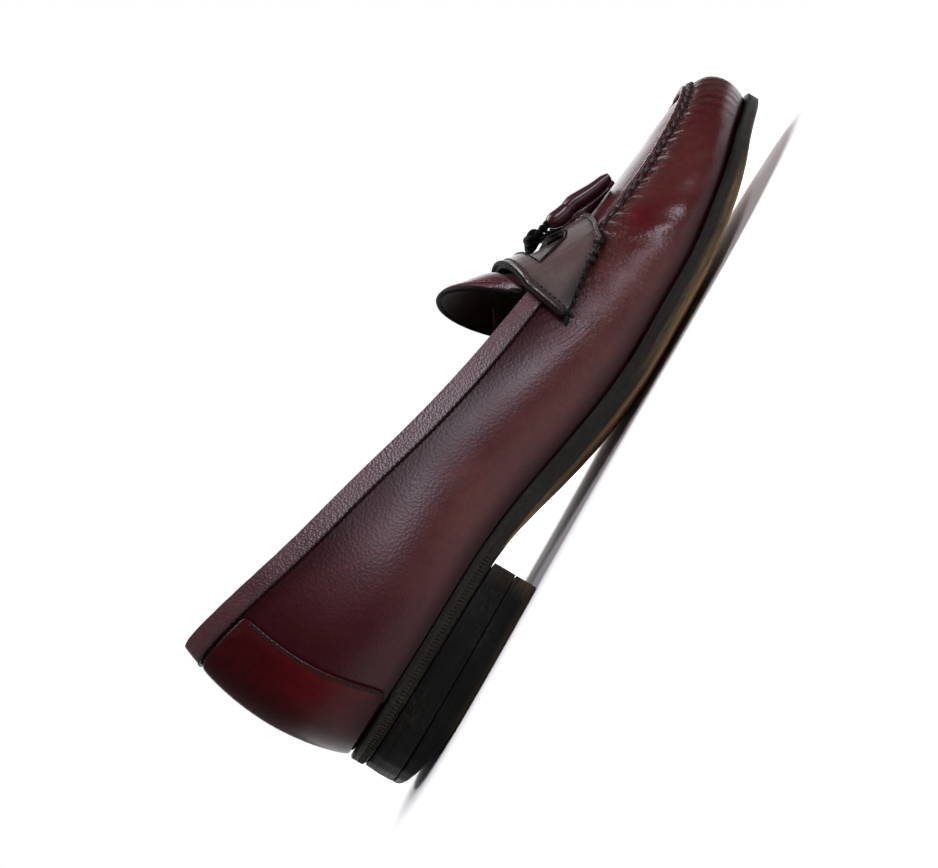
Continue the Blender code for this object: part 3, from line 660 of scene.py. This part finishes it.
finish = {  # spots of red, of fanned wrinkles and of warm brown: centre, reach and strength
    "red": [((151, -41.5, 31.5), 5.5, 0.85), ((160, -41, 30), 15, 0.2)],
    "fans": [((129, -43, 31), 15, 1.0), ((137, -43, 26), 13, 0.8), ((116, -42.5, 32), 12, 1.0),
             ((106, -41, 35), 10, 0.7), ((133, 41, 30), 16, 1.0), ((183, -40, 27), 6, 0.5)],
    "warm": [((135, -44, 24), 26, 0.7)]}


def spotsAt(co, kind):
    total = 0.0
    for centre, reach, strength in finish[kind]:
        total += strength * bump((co - at(*centre)).length, 0, reach * mm)
    return total


def underWindow(co, half, lowest):  # where the strap's window looks down on the upper
    x, y, z = co / mm
    return abs(y) < half and 122 < x < 146 and z > lowest


def creaseDepth(co):  # how far the outer wall is sunk there
    total = 0.0
    for x1, z1, x2, z2, depth, width in creases:
        shift = 6 if co.y > 0 else 0
        a, b = Vector((x1 + shift, z1)), Vector((x2 + shift, z2))
        p = Vector((co.x / mm, co.z / mm))
        share = min(max((p - a).dot(b - a) / (b - a).length_squared, 0), 1)
        far = (p - a.lerp(b, share)).length
        fade = 0.4 + 0.6 * math.sin(math.pi * min(max(share, 0.05), 0.95))
        flank = 0.45 * bump(far, width * 1.7, width)  # the hide rises a little beside a crease
        total += depth * (bump(far, 0, width) * fade - flank)
    return total * mm


upper = copyOfNode("upper", "upperLeather")


def crispEdge(co):  # the foot of the wall, and the topline behind the strap
    atSole = gapTo("outsole", co) <= 3 * mm
    return atSole or (co.x < 118 * mm and co.z > 44 * mm)


keepBorder(upper, 0.85, crispEdge)
refine(upper, 2)
neighbours = ("outsole", "saddle_strap", "collar_strip")
tones, folds, runs, moved = [], [], [], []
for co, normal in skinOf(upper):
    _, i, seamGap = seamTree.find(co)
    outward = Vector((max(seamLine[i].x - 204 * mm, 0), seamLine[i].y - 2.5 * mm, 0))
    onApron = (co - seamLine[i]).dot(outward) < 0 and co.z > 30 * mm
    outside = isOutside(co, normal)
    x, run, seamFar = co.x / mm, i * 0.5, seamGap / mm
    soleFar, strapFar, stripFar = (gapTo(node, co) / mm for node in neighbours)
    toe = ease((x - 196) / 22)
    pucker, sunk = 0.0, 0.0
    if outside and not onApron:
        sunk = creaseDepth(co)
        if x > seam["start"]:
            fade = bump(seamFar, 3, 7.5) * ease((soleFar - 3) / 5)
            wave = math.sin(2 * math.pi * run / seam["puckerPitch"] + 0.4 * math.sin(run / 9))
            uneven = 0.7 + 0.3 * math.sin(run / 11 + 1)
            pucker = seam["puckerDepth"] * fade * (0.55 + 0.45 * toe) * wave * uneven
    moved.append(co + normal * (pucker * mm - sunk))
    # painted shade: darker near the sole, beside the seam on the wall side, along the strap, where the
    # puckers sink and below the collar strip; also darker towards the heel, and held at 0.4 where the
    # strap's window looks down on the upper
    dark = 0.95 * ease(1 - (soleFar - 0.5) / 6.5)
    if not onApron:
        dark = max(dark, 0.55 * bump(seamFar, 2.8, 2.4) * ease((x - 130) / 10))
    dark = max(dark, 0.75 * bump(strapFar, 0, 2.2), -0.9 * pucker / seam["puckerDepth"],
               0.45 * ease((36 - x) / 66), 0.55 * ease(1 - (stripFar - 1) / 16))
    dark = 0.4 if underWindow(co, 30, 48) else dark
    warm = max(0.85 * bump(soleFar, 13, 9) * ease((x + 10) / 40), spotsAt(co, "warm"))
    red = spotsAt(co, "red") + 0.25 * bump(x, 205, 25) * ease(soleFar / 10) + 0.18 * bump(x, -10, 20)
    tones.append((min(dark, 1), min(warm, 1), min(red, 1), 1))
    puckers = bump(seamFar, 0, seam["puckerReach"] * (1 + 0.9 * toe)) * (0.7 + 0.3 * toe)
    puckers = 0 if onApron or x < 125 else puckers
    ripple = 0 if onApron else 0.5 * ease((x - 105) / 25) * ease(soleFar / 8)
    folds.append((puckers, min(spotsAt(co, "fans"), 1) * 0.8, ripple, 1) if outside else (0, 0, 0, 1))
    runs.append((run * mm, seamGap, 0))
moveSkin(upper, moved)
paint(upper, tones)
paint(upper, folds, "fold")
paint(upper, runs, "run", "FLOAT_VECTOR")


def upperSlot(face):  # hide outside, lining inside, and strap leather where the window looks down on it
    if not isOutside(face.center, face.normal):
        return 1
    return 2 if underWindow(face.center, 31, 47) else 0


slotByFace(upper, [upperLeather, lining, strapLeather], upperSlot)
smoothShade(upper)
finishPiece(upper, "upper_leather", "upper")
upperTree = treeOf(upper)
print("upper done")

# one light scuff across the outer quarter
scuffPlaces = [at(x, -36, z) for x, z in ((1.2, 56.0), (4.2, 53.6), (7.4, 51.6), (10.2, 49.2), (11.9, 47.4))]
scuffLine = onLeather(upperTree, smoothPath(scuffPlaces, 0.5 * mm), -0.1 * mm)
scuff = tubeAlong("quarterScuff", [place for place, along, out in scuffLine], 0.17 * mm)
finishPiece(scuff, "upper_leather", material=cordRed)

# moccasin seam: slanted whip stitches over the ridge and the holes beside them
stitched = [p for p in smoothPath(seamPlaces, seam["pitch"] * mm) if p.x > seam["start"] * mm]
heart = at(150, 2.5, 0)


def flankOf(point, along, reach, rise):  # a point beside the seam, outwards when reach is positive
    side = along.cross(Vector((0, 0, 1))).normalized()
    away = Vector((point.x, point.y, 0)) - heart
    if point.x < heart.x + 60 * mm:
        away = Vector((0, point.y - heart.y, 0))
    return point + side * math.copysign(reach, side.dot(away)) * mm + at(0, 0, rise)


def besideSeam(points, reach, rise):
    return [flankOf(point, wayAt(points, i), reach, rise) for i, point in enumerate(points)]


laid = onLeather(upperTree, besideSeam(stitched, 2.7, 0.5), 0.15 * mm)
sizes = [0.92 + 0.16 * random.random() for _ in laid]
sewAlong("seamStitches", laid, (5.2, 1.75, 1.5), seamThread, "upper_leather", math.radians(20), sizes)
halfway = [a.lerp(b, 0.5) for a, b in zip(stitched, stitched[1:])]
holes = onLeather(upperTree, besideSeam(halfway, 4.2, -0.5), 0)
bpy.ops.mesh.primitive_uv_sphere_add(segments=8, ring_count=4, radius=0.5)
hole = keepAs("holeModel")
editMode()
bpy.ops.transform.resize(value=(1.2 * mm, 1.6 * mm, 0.3 * mm))
objectMode()
# painted shade: the holes are flat dark discs lying on the hide
pits = copiesAlong(hole, "seamHoles", holes)
smoothShade(pits)
finishPiece(pits, "upper_leather", material=needleHole)
lipPath = [p for p in smoothPath(seamPlaces, 1.5 * mm) if p.x > (seam["start"] - 2) * mm]
lipLaid = onLeather(upperTree, besideSeam(lipPath, 0.3, 3.0), 0)
lip = [place + out * 0.05 * mm for place, along, out in lipLaid]
apronLip = tubeAlong("apronLip", lip, 0.95 * mm)
paint(apronLip, [(0.1, 0, 0.25, 1)] * len(apronLip.data.vertices))
finishPiece(apronLip, "upper_leather", material=stripLeather)
print("seam done")

# collar strip, with its turned lower edge and one row of stitches
topline = {"rows": [  # x, outer y, inner y, z
    (-43.5, 0.0, 0.0, 87.3), (-40.5, -13.0, 13.0, 87.0), (-25.0, -23.5, 23.5, 81.9),
    (0.0, -27.5, 27.5, 74.4), (27.0, -29.0, 28.5, 67.9), (56.0, -31.0, 30.0, 60.4),
    (84.0, -32.4, 31.0, 54.8), (112.5, -33.0, 32.0, 50.2)]}
toplineLine = smoothPath(bothSides(topline["rows"][::-1]), 1.0 * mm)
strip = copyOfNode("collar_strip", "collarStrip")
keepBorder(strip, 0.6)
refine(strip, 2)
toplineTree = treeOfPoints(toplineLine)
tones = []
for vert in strip.data.vertices:
    far = toplineTree.find(vert.co)[2] / mm
    # painted shade on the turned lower edge of the strip, and slightly darker right at the topline
    dark = max(0.85 * ease((far - 6.4) / 1.2), 0.25 * ease(1 - far / 1.2))
    tones.append((dark, 0.2, 0.15 * bump(far, 3, 2), 1))
paint(strip, tones)
smoothShade(strip)
finishPiece(strip, "upper_leather", "collar_strip", material=stripLeather)
stripTree = treeOf(strip)
lowerLine = []
for i, point in enumerate(toplineLine):
    if abs(point.x - 112.5 * mm) < 3 * mm:
        continue
    along = wayAt(toplineLine, i)
    out = Vector((along.y, -along.x, 0)).normalized()
    if out.dot(point - at(20, 0, 0)) < 0:
        out = -out
    spot, normal, _, _ = stripTree.find_nearest(point + out * 6 * mm + at(0, 0, -6))
    lowerLine.append(spot)
row = onLeather(stripTree, smoothPath(lowerLine[::4], 2.1 * mm), 0.05 * mm)
sewAlong("stripStitches", row, (1.5, 0.5, 0.45), blackThread, "upper_leather")
print("collar strip done")

# heel foxing, raised along its front seam, with a double row of stitches
foxingSeam = {"rows": [(-23.5, 25.5), (-27.4, 38), (-28.6, 49), (-27.6, 62), (-25.9, 72.5)],  # x, z
              "insets": (1.6, 3.4), "pitch": 2.0}
foxing = copyOfNode("heel_foxing", "heelFoxing")
foxingBorder = treeOfPoints(borderOf(foxing))
refine(foxing, 2)
tones = []
for vert in foxing.data.vertices:
    x, y, z = vert.co / mm
    far, soleFar = foxingBorder.find(vert.co)[2] / mm, gapTo("outsole", vert.co) / mm
    # painted shade near the sole; also darker within 1 mm of the foxing's edges and towards the back of the
    # heel
    dark = max(0.8 * ease(1 - far), 0.8 * ease(1 - soleFar / 9), 0.45 * ease((-38 - x) / 10))
    warm = 0.5 * bump(far, 2.5, 1.5) if x > -34 else 0
    tones.append((dark, warm, 0.55 * bump(z, 46, 16) * bump(x, -30, 14), 1))
paint(foxing, tones)
smoothShade(foxing)
finishPiece(foxing, "upper_leather", "heel_foxing", material=foxingLeather)
foxingTree = treeOf(foxing)
rows = []
for side in (-1, 1):
    for inset in foxingSeam["insets"]:
        guide = [at(x - inset, 36 * side, z) for x, z in foxingSeam["rows"]]
        rows += onLeather(foxingTree, smoothPath(guide, foxingSeam["pitch"] * mm), 0.03 * mm)
sewAlong("foxingStitches", rows, (1.5, 0.5, 0.45), blackThread, "upper_leather")
print("heel foxing done")

# saddle strap: rolled rear edge, stitched borders and the coarse whip stitches at its feet
strap = {"rear": (124.2, 12.7, 33, 111.5, 106.0), "front": (158.0, 11.5, 31, 146.5, 139.0)}


def onStrapEdge(edge, spots):  # border points of the strap whose x is on that edge, ordered round the foot
    middle, sweep, reach, collar, low = edge
    chosen = {}
    for spot in spots:
        x, y, z = spot / mm
        share = min(abs(y) / reach, 1)
        onTop = middle - sweep * share ** 2
        wanted = onTop if abs(y) < reach - 1 else collar - (collar - low) * min(max((50 - z) / 12, 0), 1)
        if abs(x - wanted) < 3.2:
            turn = math.degrees(math.atan2(y, z - 36))
            chosen.setdefault(round(turn / 3), []).append(spot)
    line = []
    for key in sorted(chosen):
        line.append(max(chosen[key], key=lambda spot: (spot - Vector((spot.x, 0, 36 * mm))).length))
    return line


strapPiece = copyOfNode("saddle_strap", "saddleStrap")
strapSpots = borderOf(strapPiece)
strapBorder = treeOfPoints(strapSpots)
rearLine = smoothPath(onStrapEdge(strap["rear"], strapSpots), 1.0 * mm)
frontLine = smoothPath(onStrapEdge(strap["front"], strapSpots), 1.0 * mm)
bevelEdges(strapPiece, 0.45, 50)
splitFaces(strapPiece)
rearTree, frontTree = treeOfPoints(rearLine), treeOfPoints(frontLine)
tones, moved = [], []
for co, normal in skinOf(strapPiece):
    x, y, z = co / mm
    far, rearFar, frontFar = (near.find(co)[2] / mm for near in (strapBorder, rearTree, frontTree))
    groove = min(bump(rearFar, 2.6, 0.55) + 0.7 * bump(frontFar, 2.3, 0.55), 1)
    hollow = 0.7 * bump(x, 138 - 0.15 * abs(y), 9) * ease((abs(y) - 20) / 8)
    depth = (0.35 * groove + 0.6 * hollow) * mm if isOutside(co, normal) else 0
    moved.append(co - normal * depth)
    # painted shade in the stitch grooves; also darker within about 1 mm of the strap's edges and towards its
    # feet
    dark = max(0.9 * ease(1 - far / 1.1), 0.75 * groove, 0.8 * ease((43 - z) / 6))
    tones.append((dark, 0.45 * bump(z, 54, 8), 0.3 * hollow, 1))
moveSkin(strapPiece, moved)
paint(strapPiece, tones)


def strapSlot(face):  # inked cut edges, lining underneath
    if face.normal.x < -0.5 and rearTree.find(face.center)[2] < 2.5 * mm:
        return 2
    return 0 if isOutside(face.center, face.normal) else 1


slotByFace(strapPiece, [strapLeather, lining, blackEdge], strapSlot)
smoothShade(strapPiece, 40)
finishPiece(strapPiece, "strap_leather", "saddle_strap")
strapTree = treeOf(strapPiece)
roll = tubeAlong("strapRoll", [p + at(0.3, 0, 0.1) for p in rearLine], 0.85 * mm)
finishPiece(roll, "strap_leather", material=blackEdge)
fold = tubeAlong("strapFold", [p + at(0.6, 0, -1.5) for p in rearLine if abs(p.y) < 26 * mm], 1.2 * mm)
finishPiece(fold, "strap_leather", material=blackEdge)
rows = []
for line, way, inset in ((rearLine, 1, 3.4), (frontLine, -1, 2.3)):
    guide = [p + at(way * inset, 0, 0) for p in line[6:-6]]
    rows += onLeather(strapTree, smoothPath(guide[::3] + [guide[-1]], 2.3 * mm), 0.03 * mm)
sewAlong("strapStitches", rows, (1.7, 0.55, 0.5), blackThread, "strap_leather")
feet = []
for side in (-1, 1):
    ends = [line[0] if side < 0 else line[-1] for line in (rearLine, frontLine)]
    guide = [ends[0].lerp(ends[1], share) + at(0, side * 0.5, 0) for share in (0.0, 0.25, 0.5, 0.75, 1.0)]
    feet += onLeather(strapTree, smoothPath(guide, 3.6 * mm), 0.25 * mm)
sewAlong("strapFootStitches", feet, (4.6, 1.5, 1.2), blackThread, "strap_leather", math.radians(58))
windowEdge = [  # x and y of the window's edge, on the outer half
    (133.5, 0.0), (130.2, -15.5), (127.0, -23.2), (124.3, -29.0), (131.5, -27.0), (139.0, -24.4),
    (142.4, -21.0), (143.9, -17.2), (143.4, -14.0), (141.8, -11.4), (142.2, -6.0), (143.4, 0.0)]
ringPlaces = [at(x, y, 95) for x, y in windowEdge + [(x, -y) for x, y in windowEdge[-2:0:-1]]]
ring, middle = [], at(137, 0, 95)
for a, b in zip(ringPlaces, ringPlaces[1:] + ringPlaces[:1]):
    for i in range(6):
        start = a.lerp(b, i / 6)
        start += (start - middle).normalized() * 0.8 * mm
        hit = strapTree.ray_cast(start, Vector((0, 0, -1)))
        if hit[0]:
            ring.append(hit[0] + at(0, 0, -0.1))
windowRim = tubeAlong("windowRim", ring, 0.45 * mm, closed=True)
finishPiece(windowRim, "strap_leather", material=blackEdge)
print("strap done")

# tongue: bound rear edge and a row of stitches, leather outside and lining inside
tongueEdge = {"x": 104.5, "crown": 80.3, "half": 24.2, "base": 52.2, "sweep": 8.5}
tongue = copyOfNode("tongue", "tongueLeather")
keepBorder(tongue, 0.5)
refine(tongue, 2)
tones = []
for vert in tongue.data.vertices:
    x, y, z = vert.co / mm
    far = abs(x - tongueEdge["x"] - tongueEdge["sweep"] * min(abs(y) / tongueEdge["half"], 1) ** 2)
    # painted shade where the tongue runs under the strap's rear edge
    tones.append((0.5 * ease((x - 119) / 5), 0.35 * bump(z, 68, 8), 0.75 * bump(far, 2.4, 0.9), 1))
paint(tongue, tones)


def tongueSlot(face):  # lining inside, on the cut edge and as painted shade in the band under the strap's rear edge; strap leather where the window shows it
    middle = Vector((face.center.x + 4 * mm, 0, 50 * mm))
    inward = (face.center - middle).dot(face.normal) < 0 or face.normal.x < -0.75
    if inward or 120 * mm < face.center.x < 125 * mm:
        return 1
    return 2 if face.center.x > 125 * mm else 0


slotByFace(tongue, [stripLeather, lining, strapLeather], tongueSlot)
smoothShade(tongue)
finishPiece(tongue, "strap_leather", "tongue")
edgeLine = []
for i in range(25):
    share = (i - 12) / 12
    angle = share * math.pi / 2
    rise = (tongueEdge["crown"] - tongueEdge["base"] - 1.2) * math.cos(angle) ** 0.85
    edgeLine.append(at(tongueEdge["x"] + tongueEdge["sweep"] * share ** 2,
                       (tongueEdge["half"] - 1.2) * math.sin(angle), tongueEdge["base"] + rise))
binding = tubeAlong("tongueBinding", smoothPath(edgeLine, 1.2 * mm), 1.15 * mm)
finishPiece(binding, "strap_leather", material=blackEdge)
tongueTree = treeOf(tongue)
guide = [p + at(3.2, 0, 1.5) for p in smoothPath(edgeLine, 2.2 * mm)[3:-3]]
row = onLeather(tongueTree, guide, 0.03 * mm)
sewAlong("tongueStitches", row, (1.5, 0.5, 0.4), seamThread, "strap_leather")
guide = [p + at(2.0, 0, 1.5) for p in smoothPath(edgeLine, 1.5 * mm)[3:-3]]
cordLaid = onLeather(tongueTree, guide, 0.1 * mm)
cord = tubeAlong("tongueCord", [place for place, along, out in cordLaid], 0.4 * mm)
finishPiece(cord, "strap_leather", material=cordRed)
print("tongue done")

# laces and knot: two leather strands twisted together, tied in turns over each other
lace = {"strand": 0.95, "turn": 5.5}
knotTurns = [  # tilt, spin, size and shift of each turn of the knot
    (0, 20, 1.0, (-0.9, 0.0, 0.0)), (14, -34, 0.94, (0.9, 0.6, 0.3)),
    (-20, 75, 0.82, (0.2, -0.8, 0.5)), (70, 10, 0.55, (0.0, 0.2, 0.3))]


def middlesOf(node, slices):  # middle line of a CAD node, from its lowest to its highest x
    low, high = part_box(node)
    groups = [[] for _ in range(slices)]
    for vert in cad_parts[node].data.vertices:
        groups[min(int((vert.co.x - low[0]) / (high[0] - low[0]) * slices), slices - 1)].append(vert.co)
    return [sum(group, Vector()) / len(group) for group in groups if group]


def twistedLace(name, places, radius):  # both strands wind round the middle line
    line = smoothPath(places, 0.5 * mm)
    strands = []
    for half in (0, math.pi):
        points = []
        for i, point in enumerate(line):
            along = wayAt(line, i)
            side = along.cross(Vector((0, 0, 1))).normalized()
            turn = half + 2 * math.pi * i * 0.5 / lace["turn"]
            away = side * math.cos(turn) + side.cross(along) * math.sin(turn)
            points.append(point + away * radius * 0.75)
        strands.append(tubeAlong(name + "Strand", points, radius))
    return strands


low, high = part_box("lace_knot")
middle = Vector([(a + b) / 2 for a, b in zip(low, high)])
half = Vector([(b - a) / 2 for a, b in zip(low, high)])
for name, node, cap in (("nearLace", "lace_near", "tassel_near"), ("farLace", "lace_far", "tassel_far")):
    ends = middlesOf(cap, 8)[0]
    piece = joinAs(name, twistedLace(name, [middle, *middlesOf(node, 2), ends], lace["strand"] * mm))
    smoothShade(piece)
    finishPiece(piece, "lace", node, material=blackEdge)
turns = []
for tilt, spin, size, shift in knotTurns:
    loop = []
    for i in range(28):
        angle = 2 * math.pi * i / 28
        point = Vector((0.25 * half.x * math.sin(2 * angle), (half.y - 1.2 * mm) * math.cos(angle),
                        (half.z - 1.0 * mm) * math.sin(angle))) * size
        point.rotate(Matrix.Rotation(math.radians(spin), 3, "Z"))
        point.rotate(Matrix.Rotation(math.radians(tilt), 3, "X"))
        loop.append(middle + point + Vector(shift) * mm)
    turns.append(tubeAlong("knotTurn", loop, 1.15 * mm, closed=True))
knot = joinAs("laceKnot", turns)
smoothShade(knot)
finishPiece(knot, "lace", "lace_knot", material=blackEdge)

# tassels: a moulded cap that opens into a skirt of cut strips
tassel = {  # cap and skirt: share of the length, half width, half height; the broad strip faces outward
    "cap": [(0.0, 1.4, 1.4), (0.03, 2.5, 2.4), (0.09, 3.4, 3.2), (0.20, 3.9, 3.6), (0.30, 4.0, 3.5),
            (0.345, 3.8, 3.3), (0.36, 3.1, 2.7)],
    "skirt": [(0.30, 2.9, 2.6), (0.42, 3.6, 2.8), (0.60, 4.3, 2.7), (0.80, 4.9, 2.4), (1.0, 5.2, 2.0)],
    "strips": 6, "wide": 5.2, "thick": 1.0, "broad": 3}


def skirtAt(share):  # half width and half height of the skirt there
    for (start, wide, high), (end, nextWide, nextHigh) in zip(tassel["skirt"], tassel["skirt"][1:]):
        if share <= end:
            f = max((share - start) / (end - start), 0)
            return wide + (nextWide - wide) * f, high + (nextHigh - high) * f
    return tassel["skirt"][-1][1:]


def tasselAt(name, node):
    line = smoothPath(middlesOf(node, 6), 0.5 * mm)
    low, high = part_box(node)
    head = line[0] + (line[0] - line[2]).normalized() * (line[0].x - low[0]) * 0.9
    tail = line[-1] + (line[-1] - line[-3]).normalized() * (high[0] - line[-1].x) * 0.95
    line = smoothPath([head] + line[4:-4:6] + [tail], 0.5 * mm)

    def placeAt(share):
        spot = min(max(share, 0), 1) * (len(line) - 1)
        i = min(int(spot), len(line) - 2)
        along = wayAt(line, i, 2)
        side = Vector((0, 0, 1)).cross(along).normalized()
        return line[i].lerp(line[i + 1], spot - i), along, side, along.cross(side)

    bpy.ops.mesh.primitive_cylinder_add(vertices=20, radius=1, depth=1)
    cap = keepAs(name + "Cap")
    editMode()
    bpy.ops.mesh.select_all(action="DESELECT")
    objectMode()
    for face in cap.data.polygons:
        face.select = face.normal.z > 0.9
    editMode()
    bpy.ops.mesh.select_mode(type="FACE")
    for _ in tassel["cap"][2:]:
        bpy.ops.mesh.extrude_region_move(TRANSFORM_OT_translate={"value": (0, 0, 1)})
    objectMode()
    for vert in cap.data.vertices:  # each ring takes its place and size on the cap
        share, wide, high = tassel["cap"][min(round(vert.co.z + 0.5), len(tassel["cap"]) - 1)]
        centre, along, side, over = placeAt(share)
        reach = math.hypot(vert.co.x, vert.co.y)
        if reach > 0:
            vert.co = centre + side * vert.co.x * wide * mm + over * vert.co.y * high * mm
    refine(cap, 2)
    smoothShade(cap)
    strips = []
    for i in range(tassel["strips"]):
        angle = 2 * math.pi * i / tassel["strips"] + 0.1 * math.sin(i * 5)
        reach = 1.0 if i == tassel["broad"] else 0.955 + 0.045 * math.sin(i * 2.4 + 1)
        wide = tassel["wide"] * (1.35 if i == tassel["broad"] else 1.0)
        outer = 0.5 if i == tassel["broad"] else -0.25 + 0.2 * (i % 2)
        bpy.ops.mesh.primitive_cube_add(size=1)
        stripe = keepAs(name + "Strip")
        editAll()
        bpy.ops.mesh.subdivide(number_cuts=9)
        objectMode()
        keep = []
        for vert in stripe.data.vertices:
            x, y, z = vert.co + Vector((0.5, 0, 0))
            share = 0.30 + 0.70 * x * reach
            centre, along, side, over = placeAt(share)
            rounding = math.sqrt(max(1 - max((x - 0.84) / 0.16, 0) ** 2, 0.0)) * 0.5 + 0.5
            broad, deep = skirtAt(share)
            around = angle + y * wide * rounding / (broad + deep) * 2 + 0.06 * math.sin(4 * x + i)
            lift = z * tassel["thick"] + outer * min(x * 3, 1) - 0.3 * y * y
            away = side * math.cos(around) * (broad + lift) + over * math.sin(around) * (deep + lift)
            keep.append(centre + away * mm)
        moveSkin(stripe, keep)
        strips.append(stripe)
    body = joinAs(name + "Skirt", strips)
    editAll()
    bpy.ops.mesh.normals_make_consistent(inside=False)
    objectMode()

    def cutFace(face):  # pale where a strip's cut side shows
        spot = min(range(len(line)), key=lambda k: (line[k] - face.center).length)
        along = wayAt(line, spot, 2)
        away = face.center - line[spot]
        away = (away - along * away.dot(along)).normalized()
        return 1 if abs(face.normal.dot(away)) < 0.45 else 0

    slotByFace(body, [tasselLeather, cutEdge], cutFace)
    smoothShade(body, 40)
    finishPiece(cap, "strap_leather", node, material=tasselLeather)
    finishPiece(body, "strap_leather", node)


tasselAt("nearTassel", "tassel_near")
tasselAt("farTassel", "tassel_far")
print("tassels done")

# outsole: black inked edge, tan underside, and the wheeled band round the heel seat
sole = copyOfNode("outsole", "outsoleLeather")
bevelEdges(sole, 0.22, 40)
splitFaces(sole)
rim = {}  # highest point of the CAD sole in each slice of its length
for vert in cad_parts["outsole"].data.vertices:
    station = round(vert.co.x / (10 * mm)) * 10
    rim[station] = max(rim.get(station, 0), vert.co.z / mm)
soleTop = sorted(rim.items())


def topOfSole(x):  # height of the sole's upper rim at that length
    x = max(x, soleTop[0][0])
    for (x1, z1), (x2, z2) in zip(soleTop, soleTop[1:]):
        if x <= x2:
            return z1 + (z2 - z1) * (x - x1) / (x2 - x1)
    return soleTop[-1][1]


tones, moved = [], []
for co, normal in skinOf(sole):
    x, below = co.x / mm, topOfSole(co.x / mm) - co.z / mm
    thin = 0.27 * ease((x - 168) / 50)  # the edge gets thinner towards the toe
    moved.append(co + at(0, 0, max(below, 0) * thin))
    under = ease((-normal.z - 0.62) / 0.25) * ease((x - 31) / 4)
    forefoot = ease((x - 95) / 25) * ease((198 - x) / 22)
    brown = forefoot * ease((below - 3.6) / 1.6) + 0.9 * under * bump(x, 60, 38)
    # painted shade along the top of the sole where the upper sits on it, and a thin darker line 3 mm lower
    rimShadeAndLine = min(0.85 * bump(below, 0.2, 0.9) + 0.35 * bump(below, 3.0, 0.35), 0.9)
    tones.append((rimShadeAndLine * (1 - under), min(brown, 1), under * (1 - 0.75 * bump(x, 60, 30)), 1))
moveSkin(sole, moved)
paint(sole, tones)
smoothShade(sole, 35)
finishPiece(sole, "sole_leather", "outsole", material=soleEdge)
soleTree = treeOf(sole)
ribs = {"rows": [  # x, outer y, inner y, z of the wheeled band
    (-47.5, 0.0, 0.0, 19.7), (-41.7, -20.0, 20.0, 19.6), (-24.2, -30.5, 30.5, 19.2),
    (0.6, -34.0, 33.5, 18.8), (27.7, -33.8, 31.0, 18.0)],
    "pitch": 1.25}
laid = []
guide = smoothPath(bothSides(ribs["rows"][::-1]), ribs["pitch"] * mm)
for place, along, out in onLeather(soleTree, guide, 0):
    level = Vector((out.x, out.y, 0)).normalized()
    laid.append((place + level * 0.1 * mm, along, level))
bpy.ops.mesh.primitive_cube_add(size=1)
rib = keepAs("ribModel")
editMode()
bpy.ops.transform.resize(value=(0.55 * mm, 1.9 * mm, 0.7 * mm))
bpy.ops.mesh.bevel(offset=0.12 * mm, segments=1)
objectMode()
band = copiesAlong(rib, "heelSeatRibs", laid)
paint(band, [(0, 0.1, 0, 1)] * len(band.data.vertices))
finishPiece(band, "sole_leather", material=soleEdge)

# heel: stacked lifts and a rubber top lift, with a dusty front corner
heel = [("heel_stack", "heelStack", "sole_leather"), ("top_lift", "topLift", "top_lift_rubber")]
for node, name, slotName in heel:
    piece = copyOfNode(node, name)
    bevelEdges(piece, 0.2, 45)
    splitFaces(piece)
    tones = []
    for vert in piece.data.vertices:
        x, y, z = vert.co / mm
        breast = ease((x - 20) / 7) * (0.35 + 0.65 * ease((9 - z) / 6))
        tones.append((0, max(0.75 * breast, 0.5 * ease(1 - z / 1.6)), 0, 1))
    paint(piece, tones)
    smoothShade(piece, 35)
    finishPiece(piece, slotName, node, material=heelBlack)
print("sole and heel done")

# insole with its sock lining
insole = copyOfNode("insole", "sockLining")
bevelEdges(insole, 0.6, 45)
refine(insole, 1)
smoothShade(insole)
finishPiece(insole, "insole_leather", "insole", material=sockLeather)

low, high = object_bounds()
print("loafer finished")
